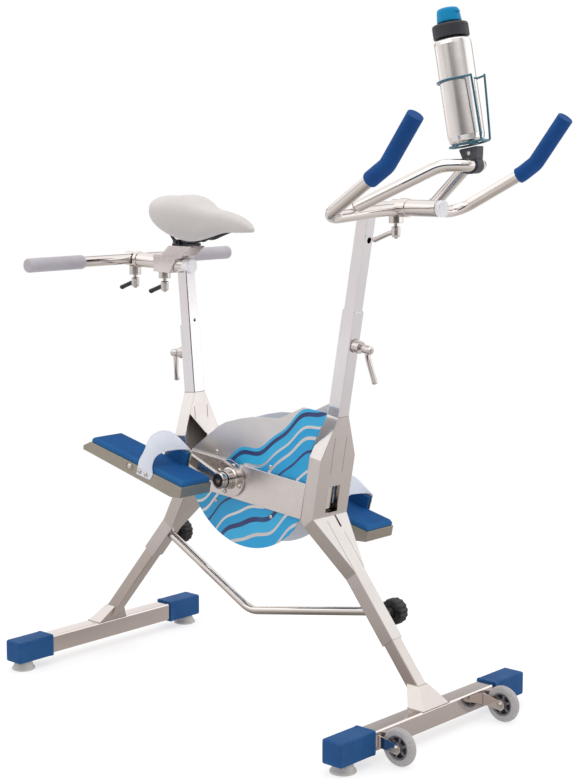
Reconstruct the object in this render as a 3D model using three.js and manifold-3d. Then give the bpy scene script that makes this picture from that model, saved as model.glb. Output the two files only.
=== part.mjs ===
// Water exercise bike: welded stainless frame on two telescoping legs, pedal drive with a
// paddle rotor, adjustable saddle and handlebar, bottle cage. Millimetres, +X forward,
// +Y to the rider's left, +Z up. Origin on the floor under the middle of the bike.
import * as THREE from "three";
import { mergeVertices } from "three/addons/utils/BufferGeometryUtils.js";
import Module from "manifold-3d";

const wasm = await Module();
wasm.setup();

// ---------------------------------------------------------------- driving dimensions
const ORIGIN_X = 584.2; // from the rear foot bar to the middle of the object
const FLOOR_Z = 6; // height of the floor in the heights below
const GAP = 0.3; // clearance between neighbouring pieces
// foot bars
const BAR = 44; // square tube of the foot bars
const BAR_WALL = 2.5;
const BAR_Z = 54; // centre height of the foot bars
const REAR_BAR_X = 0;
const FRONT_BAR_X = 1036;
const REAR_HALF = 310; // half length over the caps
const FRONT_HALF = 326;
const CAP = 54.4;
const REAR_CAP_LEN = 108;
const FRONT_CAP_LEN = 112;
// square tubes of the posts and legs
const OUT = 35;
const OUT_BORE = 30.6;
const INN = 30;
const INN_BORE = 26;
// handlebar post
const FP_TILT = 10; // degrees forward
const FP_REF = [817, 923]; // a point of its axis, X and Z
const FP_SLEEVE_Z = [686, 922];
const FP_INNER_Z = [742, 1140];
// saddle post
const SP_TILT = -5.1;
const SP_REF = [324.6, 692.5];
const SP_SLEEVE_Z = [695, 856];
const SP_INNER_Z = [670, 990];
// legs: angle from the floor, a point of the axis, sleeve end height
const FL_ANGLE = 51.5;
const FL_REF = [837, 320];
const RL_ANGLE = 49.7;
const RL_REF = [25, 103.5];
// brackets
const HALF = 59; // half width of the body
const PLATE = 3;
// body
const BEAM_T = 3;
const SIDE_Y = 50; // outer face of the round side plates
const DISC = [542.5, 552.7, 195.5];
const AXLE = [501, 516.5];
const CRANK_R = 150;
const CRANK_ANGLE = 157.5; // right crank, from +X
const ROTOR_R = 128;
// pedals: hung below and behind their pins, pitched nose down
const PEDAL_PITCH = -13.5;
const PEDAL_MID = 162; // |Y| of the pedal's middle
const PIN_S = 33.4; // pin relative to the tray's reference point, along and above
const PIN_H = 45;
// wheels
const WHEEL_X = 1103;
const WHEEL_Y = 186;
const WHEEL_R = 41;
const WHEEL_Z = 47.5;
const FORK_Y = 13.5; // fork plates either side of a wheel
// saddle slide and rear handle
const HEAD_Z = 1004;
const HEAD_R = 17.5;
const HEAD_X = [97, 321];
const HANDLE_X = 119.5;
const HANDLE_HALF = 333;
// handlebar
const REC_Z = 1149;
const REC_R = 17.5;
const REC_X = [925, 1057];

// ---------------------------------------------------------------- helpers
const V = (x, y, z) => new THREE.Vector3(x, y, z);
const rad = (d) => (d * Math.PI) / 180;

function solid(geometry, matrix) {
  const g = geometry.clone();
  if (matrix) g.applyMatrix4(matrix);
  for (const k of Object.keys(g.attributes)) if (k !== "position") g.deleteAttribute(k);
  const m = mergeVertices(g, 1e-4);
  return new wasm.Manifold(
    new wasm.Mesh({
      numProp: 3,
      vertProperties: new Float32Array(m.attributes.position.array),
      triVerts: new Uint32Array(m.index.array),
    }),
  );
}
const join = (...s) => s.reduce((a, b) => a.add(b));
const cut = (a, ...s) => s.reduce((p, b) => p.subtract(b), a);

// polygon in the plane U, V at an origin, extruded along U x V
function prism(points, depth, origin, U, Vv, holes = []) {
  const shape = new THREE.Shape(points.map((p) => new THREE.Vector2(p[0], p[1])));
  for (const h of holes) shape.holes.push(new THREE.Path(h.map((p) => new THREE.Vector2(p[0], p[1]))));
  const g = new THREE.ExtrudeGeometry(shape, { depth, bevelEnabled: false, curveSegments: 8 });
  const W = new THREE.Vector3().crossVectors(U, Vv);
  return solid(g, new THREE.Matrix4().makeBasis(U, Vv, W).setPosition(origin));
}
// side view polygon (X, Z) between two Y
function side(points, y0, y1) {
  return prism(points, y1 - y0, V(0, y1, 0), V(1, 0, 0), V(0, 0, 1));
}
// front view polygon (Y, Z) between two X
function front(points, x0, x1) {
  return prism(points, x1 - x0, V(x0, 0, 0), V(0, 1, 0), V(0, 0, 1));
}
// plan polygon (X, Y) between two Z
function plan(points, z0, z1) {
  return prism(points, z1 - z0, V(0, 0, z0), V(1, 0, 0), V(0, 1, 0));
}
function box(x0, x1, y0, y1, z0, z1) {
  return solid(
    new THREE.BoxGeometry(x1 - x0, y1 - y0, z1 - z0),
    new THREE.Matrix4().makeTranslation((x0 + x1) / 2, (y0 + y1) / 2, (z0 + z1) / 2),
  );
}
function rod(a, b, r, n = 12, r2 = r) {
  const A = V(...a), B = V(...b), d = new THREE.Vector3().subVectors(B, A), L = d.length();
  const q = new THREE.Quaternion().setFromUnitVectors(V(0, 1, 0), d.normalize());
  const m = new THREE.Matrix4().compose(A.clone().add(B).multiplyScalar(0.5), q, V(1, 1, 1));
  return solid(new THREE.CylinderGeometry(r2, r, L, n), m);
}
// turned shape about an axis through a point: profile of (radius, along)
function turned(profile, origin, axis, n = 20) {
  const g = new THREE.LatheGeometry(profile.map((p) => new THREE.Vector2(p[0], p[1])), n);
  const q = new THREE.Quaternion().setFromUnitVectors(V(0, 1, 0), V(...axis).normalize());
  return solid(g, new THREE.Matrix4().compose(V(...origin), q, V(1, 1, 1)));
}
// polyline with rounded corners
function rounded(points, radii, steps = 5) {
  const P = points.map((p) => V(...p)), out = [P[0]];
  for (let i = 1; i < P.length - 1; i++) {
    const a = new THREE.Vector3().subVectors(P[i - 1], P[i]).normalize();
    const b = new THREE.Vector3().subVectors(P[i + 1], P[i]).normalize();
    const half = a.angleTo(b) / 2, r = Array.isArray(radii) ? radii[i - 1] : radii;
    const t = r / Math.tan(half);
    const p0 = P[i].clone().addScaledVector(a, t);
    const axis = new THREE.Vector3().crossVectors(a, b).normalize();
    const c = P[i].clone().addScaledVector(new THREE.Vector3().addVectors(a, b).normalize(), r / Math.sin(half));
    const s = new THREE.Vector3().subVectors(p0, c), sweep = Math.PI - 2 * half;
    for (let k = 0; k <= steps; k++) out.push(c.clone().add(s.clone().applyAxisAngle(axis, (-sweep * k) / steps)));
  }
  out.push(P[P.length - 1]);
  return out;
}
// round bar swept along points
class Poly extends THREE.Curve {
  constructor(pts) {
    super();
    this.pts = pts;
  }
  getPoint(t, target = new THREE.Vector3()) {
    const n = this.pts.length - 1, i = Math.min(n - 1, Math.floor(t * n + 1e-9));
    return target.lerpVectors(this.pts[i], this.pts[i + 1], Math.min(1, Math.max(0, t * n - i)));
  }
  getPointAt(t, target) {
    return this.getPoint(t, target);
  }
  getSpacedPoints(n) {
    return this.pts.length - 1 === n ? this.pts.map((p) => p.clone()) : super.getSpacedPoints(n);
  }
  getTangentAt(t, target = new THREE.Vector3()) {
    const n = this.pts.length - 1, k = Math.round(t * n);
    const a = this.pts[Math.max(0, k - 1)], b = this.pts[Math.min(n, k + 1)];
    return target.subVectors(b, a).normalize();
  }
}
function sweep(pts, r, n = 10) {
  const ring = [];
  for (let i = 0; i < n; i++) ring.push(new THREE.Vector2(r * Math.cos((2 * Math.PI * i) / n), r * Math.sin((2 * Math.PI * i) / n)));
  const g = new THREE.ExtrudeGeometry(new THREE.Shape(ring), { steps: pts.length - 1, extrudePath: new Poly(pts), bevelEnabled: false });
  return solid(g);
}
const meshes = [];
function add(name, body, colour, roughness = 0.35, metalness = 0.9) {
  const m = body.getMesh();
  const g = new THREE.BufferGeometry();
  g.setAttribute("position", new THREE.BufferAttribute(new Float32Array(m.vertProperties), 3));
  g.setIndex(new THREE.BufferAttribute(new Uint32Array(m.triVerts), 1));
  g.computeVertexNormals();
  const mesh = new THREE.Mesh(g, new THREE.MeshStandardMaterial({ color: colour, roughness, metalness }));
  mesh.name = name;
  meshes.push(mesh);
}
const STEEL = 0xc9c6c2, BLUE = 0x12529a, BLACK = 0x1b1c20, WHITE = 0xeeeef0, GREY = 0xc4c6cc;

// ---------------------------------------------------------------- directions
const fpDir = [Math.sin(rad(FP_TILT)), Math.cos(rad(FP_TILT))];
const spDir = [Math.sin(rad(SP_TILT)), Math.cos(rad(SP_TILT))];
const fpX = (z) => FP_REF[0] + ((z - FP_REF[1]) * fpDir[0]) / fpDir[1];
const spX = (z) => SP_REF[0] + ((z - SP_REF[1]) * spDir[0]) / spDir[1];
const flDir = [-Math.cos(rad(FL_ANGLE)), Math.sin(rad(FL_ANGLE))]; // up along the front leg
const rlDir = [Math.cos(rad(RL_ANGLE)), Math.sin(rad(RL_ANGLE))]; // up along the rear leg
const flX = (z) => FL_REF[0] + ((z - FL_REF[1]) * flDir[0]) / flDir[1];
const rlX = (z) => RL_REF[0] + ((z - RL_REF[1]) * rlDir[0]) / rlDir[1];
const on = (x, z, dir, t, nrm = 0) => [x + dir[0] * t + dir[1] * nrm, z + dir[1] * t - dir[0] * nrm];

// square bar along a direction of the XZ plane, centred on Y = 0
function square(dir, ref, t0, t1, w) {
  const h = w / 2;
  const a = on(...ref, dir, t0, -h), b = on(...ref, dir, t0, h), c = on(...ref, dir, t1, h), d = on(...ref, dir, t1, -h);
  return side([a, b, c, d], -h, h);
}
const tAt = (dir, ref, z) => (z - ref[1]) / dir[1];

// ---------------------------------------------------------------- brackets with their leg sleeves
// intersection of two lines of the XZ plane, each a point and a direction
function meet(p, d, q, e) {
  const k = ((q[0] - p[0]) * e[1] - (q[1] - p[1]) * e[0]) / (d[0] * e[1] - d[1] * e[0]);
  return [p[0] + d[0] * k, p[1] + d[1] * k];
}
function bracket(post, postRef, leg, legRef, topZ, flareZ, taperFrontZ, sleeveEndZ, openFront) {
  const h = OUT / 2;
  const make = (inset, hw, top, low) => {
    const pf = on(...postRef, post, 0, h - inset), pr = on(...postRef, post, 0, -(h - inset));
    const lf = on(...legRef, leg, 0, h - inset), lr = on(...legRef, leg, 0, -(h - inset));
    const bf = meet(pf, post, lf, leg), br = meet(pr, post, lr, leg);
    const tf = on(...postRef, post, top, h - inset), tr = on(...postRef, post, top, -(h - inset));
    const ef = on(...legRef, leg, low, h - inset), er = on(...legRef, leg, low, -(h - inset));
    return { bf, br, tf, tr, ef, er, hw };
  };
  const build = (inset, half, thin, top, low) => {
    const s = make(inset, half, top, low);
    const up = side([s.br, s.bf, s.tf, s.tr], -half, half);
    const down = side([s.er, s.ef, s.bf, s.br], -half, half);
    // widths: along the post and along the leg, seen square to each
    const Uy = V(0, 1, 0), pv = V(post[0], 0, post[1]), lv = V(leg[0], 0, leg[1]);
    const o1 = V(postRef[0], 0, postRef[1]), o2 = V(legRef[0], 0, legRef[1]);
    const W1 = new THREE.Vector3().crossVectors(Uy, pv), W2 = new THREE.Vector3().crossVectors(Uy, lv);
    const tt = (topZ - postRef[1]) / post[1], tf = (flareZ - postRef[1]) / post[1];
    const bend = (s.bf[1] - legRef[1]) / leg[1] + 60, taper = (taperFrontZ - legRef[1]) / leg[1];
    const bt = (s.br[1] - postRef[1]) / post[1] - 60;
    const wUp = prism([[-half, bt], [half, bt], [half, tf], [thin, tt], [thin, top + 5], [-thin, top + 5], [-thin, tt], [-half, tf]], 90, o1.clone().addScaledVector(W1, -45), Uy, pv);
    const full = (s.bf[1] - legRef[1]) / leg[1];
    const wDn = prism([[-thin, low - 5], [thin, low - 5], [thin, taper], [half, full], [half, bend], [-half, bend], [-half, full], [-thin, taper]], 90, o2.clone().addScaledVector(W2, -45), Uy, lv);
    return join(up.intersect(wUp), down.intersect(wDn));
  };
  const top = tAt(post, postRef, topZ), low = tAt(leg, legRef, sleeveEndZ);
  const outer = build(0, HALF, h, top, low);
  const inner = build(PLATE, HALF - PLATE, OUT_BORE / 2, top - 4, tAt(leg, legRef, taperFrontZ) + 8);
  const bore = square(leg, legRef, low - 5, tAt(leg, legRef, taperFrontZ) + 60, OUT_BORE);
  const postBore = square(post, postRef, top - 110, top + 5, OUT_BORE);
  let b = cut(outer, inner, bore, postBore);
  return b;
}
// front: closed face forward, open towards the body
const FB_TOP = FP_SLEEVE_Z[0], FB_FLARE = 592, FB_TAPER = 330;
let frontBracket = bracket(fpDir, FP_REF, flDir, FL_REF, FB_TOP, FB_FLARE, FB_TAPER, 198, false);
frontBracket = cut(
  frontBracket,
  front([[-51.5, 472], [51.5, 472], [51.5, 600], [30, 646], [-30, 646], [-51.5, 600]], 690, 748),
  front([[-18, 462], [18, 462], [18, 524], [-18, 524]], 735, 800), // window in the front wall
  front([[12, 416], [18, 416], [18, 466], [12, 466]], 735, 830), // slot below it
);
// boss of the clamping knob on the left face of the leg sleeve
const FK = [flX(248), 248];
frontBracket = cut(
  join(frontBracket, rod([FK[0], 16.8, FK[1]], [FK[0], 36, FK[1]], 11, 16)),
  rod([FK[0], 10, FK[1]], [FK[0], 40, FK[1]], 5.4, 12),
);
add("front_bracket_and_leg_sleeve", frontBracket, STEEL);

let rearBracket = bracket(spDir, SP_REF, rlDir, RL_REF, SP_SLEEVE_Z[0], 597, 362, 282, true);
rearBracket = cut(
  rearBracket,
  front([[-51.5, 493], [51.5, 493], [51.5, 646], [8, 600], [-51.5, 662]], 338, 400), // notch in the front wall, round a pointed tongue
);
const RK = [rlX(329), 329];
rearBracket = cut(
  join(rearBracket, rod([RK[0], 16.8, RK[1]], [RK[0], 36, RK[1]], 11, 16)),
  rod([RK[0], 10, RK[1]], [RK[0], 40, RK[1]], 5.4, 12),
);
add("rear_bracket_and_leg_sleeve", rearBracket, STEEL);

// ---------------------------------------------------------------- post sleeves
function postSleeve(dir, ref, z0, z1, knobZ, backwards) {
  let s = square(dir, ref, tAt(dir, ref, z0) + GAP, tAt(dir, ref, z1), OUT);
  const p = on(...ref, dir, tAt(dir, ref, knobZ), 0), n = backwards ? -1 : 1;
  const a = on(...ref, dir, tAt(dir, ref, knobZ), n * (OUT / 2 - 1)), b = on(...ref, dir, tAt(dir, ref, knobZ), n * (OUT / 2 + 19));
  s = join(s, rod([a[0], 0, a[1]], [b[0], 0, b[1]], 14, 20));
  const c = on(...ref, dir, tAt(dir, ref, knobZ), n * (OUT / 2 + 25));
  return cut(
    s,
    square(dir, ref, tAt(dir, ref, z0) - 5, tAt(dir, ref, z1) + 5, OUT_BORE),
    rod([p[0], 0, p[1]], [c[0], 0, c[1]], 5.4, 12),
  );
}
const FP_KNOB_Z = 848, SP_KNOB_Z = 789;
add("handlebar_post_sleeve", postSleeve(fpDir, FP_REF, ...FP_SLEEVE_Z, FP_KNOB_Z, false), STEEL);
add("saddle_post_sleeve", postSleeve(spDir, SP_REF, ...SP_SLEEVE_Z, SP_KNOB_Z, true), STEEL);

// ---------------------------------------------------------------- feet: bar, inner leg, gusset, caps, rubber feet
function footFrame(barX, half, leg, ref, legTopZ) {
  const inner = half - 3.6;
  let bar = cut(
    box(barX - BAR / 2, barX + BAR / 2, -inner, inner, BAR_Z - BAR / 2, BAR_Z + BAR / 2),
    box(barX - BAR / 2 + BAR_WALL, barX + BAR / 2 - BAR_WALL, -half - 5, half + 5, BAR_Z - BAR / 2 + BAR_WALL, BAR_Z + BAR / 2 - BAR_WALL),
  );
  const top = BAR_Z + BAR / 2;
  const t0 = tAt(leg, ref, top - 1), t1 = tAt(leg, ref, legTopZ);
  const legTube = cut(square(leg, ref, t0 - 30, t1, INN), box(barX - 90, barX + 90, -60, 60, 0, top - 1.5));
  // flared gusset around the foot of the leg: a plate on each side and one across the outer face
  const c = on(...ref, leg, tAt(leg, ref, top + 34), 0);
  const g = [[c[0] - 17, c[1] + 8], [c[0] + 17, c[1] + 8], [barX + BAR / 2, top], [barX - BAR / 2, top]];
  let gusset = side([[g[0][0], g[0][1]], [g[1][0], g[1][1]], [g[2][0], g[2][1] - 0.8], [g[3][0], g[3][1] - 0.8]], -48, 48)
    .intersect(front([[-16, top + 46], [16, top + 46], [46, top - 0.8], [-46, top - 0.8]], barX - 200, barX + 200));
  const bore = square(leg, ref, t0 - 4, t1 + 5, INN_BORE);
  let body = join(bar, legTube, gusset);
  body = cut(body, bore.subtract(box(barX - 90, barX + 90, -60, 60, 0, top - BAR_WALL - 0.5)));
  return body;
}
add("rear_foot_frame", footFrame(REAR_BAR_X, REAR_HALF, rlDir, RL_REF, 375), STEEL);

function cap(barX, yOut, yIn) {
  const s = Math.sign(yOut), h = CAP / 2, b = BAR / 2 + GAP, c = 5;
  const sec = [[-h + c, -h], [h - c, -h], [h, -h + c], [h, h - c], [h - c, h], [-h + c, h], [-h, h - c], [-h, -h + c]].map((p) => [barX + p[0], BAR_Z + p[1]]);
  const y0 = Math.min(yOut, yIn), y1 = Math.max(yOut, yIn);
  const shell = side(sec, y0, y1);
  const hole = s < 0 ? box(barX - b, barX + b, yOut + 3.3, yIn + 5, BAR_Z - b, BAR_Z + b) : box(barX - b, barX + b, yIn - 5, yOut - 3.3, BAR_Z - b, BAR_Z + b);
  return cut(shell, hole);
}
function rubberFoot(x, y) {
  const top = BAR_Z - CAP / 2 - GAP;
  const h = top - FLOOR_Z;
  return turned([[0, 0], [27.6, 0], [28.6, 2], [27.6, 5], [22, h - 4], [20.5, h], [0, h]], [x, y, FLOOR_Z], [0, 1e-9, 1], 24);
}
for (const [tag, s] of [["right", -1], ["left", 1]]) {
  add(`rear_end_cap_${tag}`, cap(REAR_BAR_X, s * REAR_HALF, s * (REAR_HALF - REAR_CAP_LEN)), BLUE, 0.6, 0);
  add(`front_end_cap_${tag}`, cap(FRONT_BAR_X, s * FRONT_HALF, s * (FRONT_HALF - FRONT_CAP_LEN)), BLUE, 0.6, 0);
  add(`rear_rubber_foot_${tag}`, rubberFoot(REAR_BAR_X, s * (REAR_HALF - 33)), GREY, 0.6, 0);
  add(`front_rubber_foot_${tag}`, rubberFoot(FRONT_BAR_X, s * (FRONT_HALF - 38)), GREY, 0.6, 0);
}

// front foot frame carries two bent fork plates for each transport wheel
let frontFoot = footFrame(FRONT_BAR_X, FRONT_HALF, flDir, FL_REF, 318);
for (const s of [-1, 1]) {
  for (const k of [-1, 1]) {
    const y = s * WHEEL_Y + k * FORK_Y;
    const arm = side([[FRONT_BAR_X + BAR / 2 - 1, 66], [FRONT_BAR_X + BAR / 2 - 1, 40], [WHEEL_X - 6, WHEEL_Z - 13], [WHEEL_X + 9, WHEEL_Z - 10], [WHEEL_X + 13, WHEEL_Z], [WHEEL_X + 9, WHEEL_Z + 10], [WHEEL_X - 8, WHEEL_Z + 12]], y - 1.25, y + 1.25);
    frontFoot = join(frontFoot, arm);
  }
  // axle bolt with its heads
  frontFoot = join(
    frontFoot,
    rod([WHEEL_X, s * WHEEL_Y - 16, WHEEL_Z], [WHEEL_X, s * WHEEL_Y + 16, WHEEL_Z], 4, 10),
    rod([WHEEL_X, s * WHEEL_Y - 19, WHEEL_Z], [WHEEL_X, s * WHEEL_Y - 14.5, WHEEL_Z], 6.5, 6),
    rod([WHEEL_X, s * WHEEL_Y + 14.5, WHEEL_Z], [WHEEL_X, s * WHEEL_Y + 19, WHEEL_Z], 6.5, 6),
  );
}
add("front_foot_frame", frontFoot, STEEL);
for (const [tag, s] of [["right", -1], ["left", 1]]) {
  const o = [WHEEL_X, s * WHEEL_Y, WHEEL_Z];
  const R = WHEEL_R;
  add(
    `wheel_tyre_${tag}`,
    turned([[26, -8], [R - 8, -9.5], [R - 2, -6.8], [R, -2.5], [R, 2.5], [R - 2, 6.8], [R - 8, 9.5], [26, 8], [26, -8]], o, [0, 1, 0], 24),
    0xa9a6a6, 0.35, 0,
  );
  add(`wheel_hub_${tag}`, turned([[4.4, -11.5], [11, -11.5], [12, -7], [25.7, -6.5], [25.7, 6.5], [12, 7], [11, 11.5], [4.4, 11.5], [4.4, -11.5]], o, [0, 1, 0], 18), 0x3a3c44, 0.4, 0.2);
}

// ---------------------------------------------------------------- stretcher between the legs
{
  const s = 17.5 + GAP;
  const a = on(...RL_REF, rlDir, tAt(rlDir, RL_REF, 341), 0), b = on(...FL_REF, flDir, tAt(flDir, FL_REF, 258), 0);
  const pts = rounded([[a[0], 0, a[1]], [505, 0, 190], [b[0], 0, b[1]]], 70, 6);
  let t = sweep(pts, 10, 12).subtract(sweep(pts, 8.2, 6));
  t = cut(t, square(rlDir, RL_REF, -100, 700, OUT + 2 * GAP), square(flDir, FL_REF, -400, 300, OUT + 2 * GAP));
  add("stretcher_tube", t, STEEL);
}

// ---------------------------------------------------------------- body: beams, side plates, flanges
const beamSlope = -0.0915;
const beamZ = (x) => 524 + (x - 365) * beamSlope; // centre line
for (const [tag, s] of [["right", -1], ["left", 1]]) {
  const H = 42.2;
  const xr0 = (z) => spX(z) + 17.6 + 2 * GAP, xf0 = (z) => fpX(z) - 17.8 - 2 * GAP;
  const tl = [xr0(beamZ(361) + H), 0], bl = [xr0(beamZ(361) - H), 0];
  const P = (x, o) => [x, beamZ(x) + o];
  const xl1 = xr0(beamZ(358) + H), xl2 = xr0(beamZ(362) - H), xr1 = xf0(beamZ(724) + H), xr2 = xf0(beamZ(714) - H);
  const web = [P(xl2, -H), P(xr2, -H), P(xr1, H), P(xl1, H)];
  const yo = s * (HALF - 0.3), yi = s * (SIDE_Y + GAP + 0.4);
  const [ya, yb] = [Math.min(yo, yi), Math.max(yo, yi)];
  let beam = side(web, ya, yb);
  const inn = [P(xl2 + 3, -H + BEAM_T), P(xr2 - 3, -H + BEAM_T), P(xr1 - 3, H - BEAM_T), P(xl1 + 3, H - BEAM_T)];
  beam = s < 0 ? cut(beam, side(inn, -HALF + 0.3 + BEAM_T, -40)) : cut(beam, side(inn, 40, HALF - 0.3 - BEAM_T));
  beam = cut(beam, rod([AXLE[0], s * 40, AXLE[1]], [AXLE[0], s * 70, AXLE[1]], 24, 20));
  add(`side_beam_${tag}`, beam, STEEL);

  // round plate with its raised cowl
  const pts = [];
  for (let a = 178; a <= 318; a += 10) pts.push([DISC[0] + DISC[2] * Math.cos(rad(a)), DISC[1] + DISC[2] * Math.sin(rad(a))]);
  pts.push([722, 476], [738, 602], [741, 612], [745, 620], [751, 632.5], [769, 665], [786, 697], [715, 703], [642, 669], [602, 667.5], [560, 665], [518, 656], [476, 644], [452, 632], [360, 565]);
  const py = s * SIDE_Y, pi = s * (SIDE_Y - 3);
  let plate = side(pts, Math.min(py, pi), Math.max(py, pi));
  plate = cut(plate, rod([AXLE[0], s * 40, AXLE[1]], [AXLE[0], s * 70, AXLE[1]], 24, 20), box(330, 362.5, -60, 60, 396, 496));
  add(`side_plate_${tag}`, plate, s < 0 ? 0x9fb9cc : 0x9fb9cc, 0.4, 0.5);

  // flange with the bearing housing
  const fo = [AXLE[0], 0, AXLE[1]];
  const prof = [[14.3, 48], [23.4, 48], [23.4, HALF + GAP], [44, HALF + GAP], [44, HALF + 6], [24, HALF + 6], [21, 74], [21, 86], [14.3, 86], [14.3, 48]];
  add(`bearing_flange_${tag}`, s > 0 ? turned(prof, fo, [0, 1, 0], 22) : turned(prof.map((p) => [p[0], -p[1]]).reverse(), fo, [0, 1, 0], 22), STEEL);
}

// ---------------------------------------------------------------- crank: axle, rotor, arms with pins
const rp = [AXLE[0] + CRANK_R * Math.cos(rad(CRANK_ANGLE)), AXLE[1] + CRANK_R * Math.sin(rad(CRANK_ANGLE))];
const lp = [2 * AXLE[0] - rp[0], 2 * AXLE[1] - rp[1]];
add("crank_axle", rod([AXLE[0], -88, AXLE[1]], [AXLE[0], 88, AXLE[1]], 14, 20), STEEL);
{
  let r = cut(rod([AXLE[0], -40, AXLE[1]], [AXLE[0], 40, AXLE[1]], 24, 20));
  for (let i = 0; i < 6; i++) {
    const a = (i * Math.PI) / 3, u = [Math.cos(a), Math.sin(a)], n = [-u[1], u[0]];
    const q = (d, e) => [AXLE[0] + u[0] * d + n[0] * e, AXLE[1] + u[1] * d + n[1] * e];
    r = join(r, side([q(18, -1.5), q(ROTOR_R, -1.5), q(ROTOR_R, 1.5), q(18, 1.5)], -38, 38));
  }
  r = cut(r, rod([AXLE[0], -45, AXLE[1]], [AXLE[0], 45, AXLE[1]], 14.3, 20));
  add("paddle_rotor", r, 0x8fc4e0, 0.4, 0.1);
}
for (const [tag, s, p] of [["right", -1, rp], ["left", 1, lp]]) {
  const u = [(p[0] - AXLE[0]) / CRANK_R, (p[1] - AXLE[1]) / CRANK_R], n = [-u[1], u[0]];
  const q = (d, e) => [AXLE[0] + u[0] * d + n[0] * e, AXLE[1] + u[1] * d + n[1] * e];
  const y0 = Math.min(s * 91, s * 101), y1 = Math.max(s * 91, s * 101);
  let arm = join(
    side([q(0, -13), q(CRANK_R, -10), q(CRANK_R, 10), q(0, 13)].reverse().reverse(), y0, y1),
    rod([AXLE[0], s * 88.3, AXLE[1]], [AXLE[0], s * 104, AXLE[1]], 19, 24),
    rod([p[0], s * 90, p[1]], [p[0], s * 104, p[1]], 12, 20),
    rod([p[0], s * 100, p[1]], [p[0], s * 122.5, p[1]], 6, 16),
    rod([p[0], s * 117.6, p[1]], [p[0], s * 122.5, p[1]], 9, 16),
  );
  add(`crank_arm_${tag}`, arm, STEEL);
}

// ---------------------------------------------------------------- pedals
// both pedals are the same moulding: the upright wall is on the +Y side of each
const pc = Math.cos(rad(PEDAL_PITCH)), ps = Math.sin(rad(PEDAL_PITCH));
for (const [tag, s, pin] of [["right", -1, rp], ["left", 1, lp]]) {
  const ref = [pin[0] - PIN_S * pc + PIN_H * ps, pin[1] - PIN_S * ps - PIN_H * pc];
  const L = (a, h) => [ref[0] + a * pc - h * ps, ref[1] + a * ps + h * pc];
  const mid = s * PEDAL_MID, yA = mid - 48, yB = mid + 48; // -Y and +Y faces of the tray
  const lo = side([L(-163, -13), L(-164, -3), L(-141, 14), L(172, 17), L(173, -8), L(142, -17)], yA, yB);
  const hollow = side([L(-150, -20), L(-160, -30), L(120, -60), L(139, -14.5), L(169, -6), L(169, 13), L(-139, 10.5), L(-157, -2)], yA + 3, yB - 3);
  let tray = cut(lo, hollow, side([L(-157, -40), L(-157, -9), L(136, -12), L(136, -40)], yA + 3, yB - 3));
  // wall on the +Y side
  tray = join(tray, side([L(8, 8), L(95, 8), L(97, 62), L(54, 62)], yB - 3, yB));
  // lug for the pin on the side that faces the crank
  const yl = s < 0 ? yB : yA, lug = s < 0 ? [yB - 3, yB] : [yA, yA + 3];
  tray = join(tray, side([L(8, 8), L(60, 8), L(46, PIN_H + 10), L(PIN_S + 6, PIN_H + 15), L(PIN_S - 6, PIN_H + 15), L(21, PIN_H + 10)], ...lug));
  const pinC = [pin[0], pin[1]];
  tray = cut(tray, rod([pinC[0], yl - 8, pinC[1]], [pinC[0], yl + 8, pinC[1]], 6.4, 16));
  add(`pedal_tray_${tag}`, tray, 0xb7b8b0);
  // foam pad with its upright part
  const pad = side([L(-138, 11.2 + 0.3), L(-138, 28), L(170, 31), L(170, 17.5)], yA + 1.5, yB - 4);
  const wallPad = side([L(14, 20), L(93, 20), L(95, 60), L(56, 60)], yB - 11, yB - 3.4);
  let foam = join(cut(pad, side([L(-141 - 20, -30), L(-141 - 20, 14.3), L(-141, 14.3), L(172, 17.3), L(200, 17.3), L(200, -30)], yA - 5, yB + 5)), wallPad);
  const headR = 11;
  foam = cut(foam, s < 0 ? rod([pinC[0], yB - 30, pinC[1]], [pinC[0], yB, pinC[1]], headR, 16) : rod([pinC[0], yA - 1, pinC[1]], [pinC[0], yA + 12, pinC[1]], headR, 16));
  if (s > 0) foam = cut(foam, side([L(2, 0), L(66, 0), L(66, 80), L(2, 80)], yA, yA + 3.4));
  add(`pedal_pad_${tag}`, foam, BLUE, 0.85, 0);
  // strap: outboard tab, arch over the foot, down on the wall
  const arch = s < 0
    ? [[-1.9, -9], [-1.9, 30], [3, 58], [16, 82], [36, 97], [56, 99], [76, 88], [91, 70], [97.9, 62], [97.9, 40]]
    : [[-1.9, -9], [-1.9, 66], [4, 80], [18, 92], [38, 98], [56, 99], [76, 88], [91, 70], [97.9, 62], [97.9, 40]];
  const under = s < 0
    ? [[94.9, 40], [94.9, 62.2], [88.5, 68], [74, 85], [55, 95.6], [37, 93.6], [18.6, 79.4], [6, 56.4], [1.1, 29.6], [-0.3, 29.6], [-0.3, -9]]
    : [[94.9, 40], [94.9, 62.2], [88.5, 68], [74, 85], [55, 95.6], [38, 94.6], [20, 89], [7, 78], [-0.3, 66], [-0.3, -9]];
  const band = [...arch, ...under];
  const fwd = V(pc, 0, ps), upv = V(-ps, 0, pc);
  // section in the (Y, h) plane, extruded along the pedal
  const W = new THREE.Vector3().crossVectors(V(0, 1, 0), upv); // = forward
  const o = V(ref[0], yA, ref[1]).addScaledVector(W, 22);
  let strap = prism(band.map(([y, h]) => [y, h]), 64, o, V(0, 1, 0), upv);
  strap = strap.intersect(side([L(18, -12), L(68, -12), L(72, 30), L(92, 58), L(97, 72), L(60, 112), L(16, 112)], yA - 10, yB + 10));
  strap = cut(strap, side([L(-20, 36), L(120, 36), L(120, 62.3), L(-20, 62.3)], yB - 4, yB + GAP));
  strap = cut(strap, s < 0 ? rod([pinC[0], yB - 30, pinC[1]], [pinC[0], yB + 30, pinC[1]], 13, 16) : rod([pinC[0], yA - 5, pinC[1]], [pinC[0], yA + 13, pinC[1]], 7.2, 16));
  add(`pedal_strap_${tag}`, strap, WHITE, 0.7, 0);
}

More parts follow.
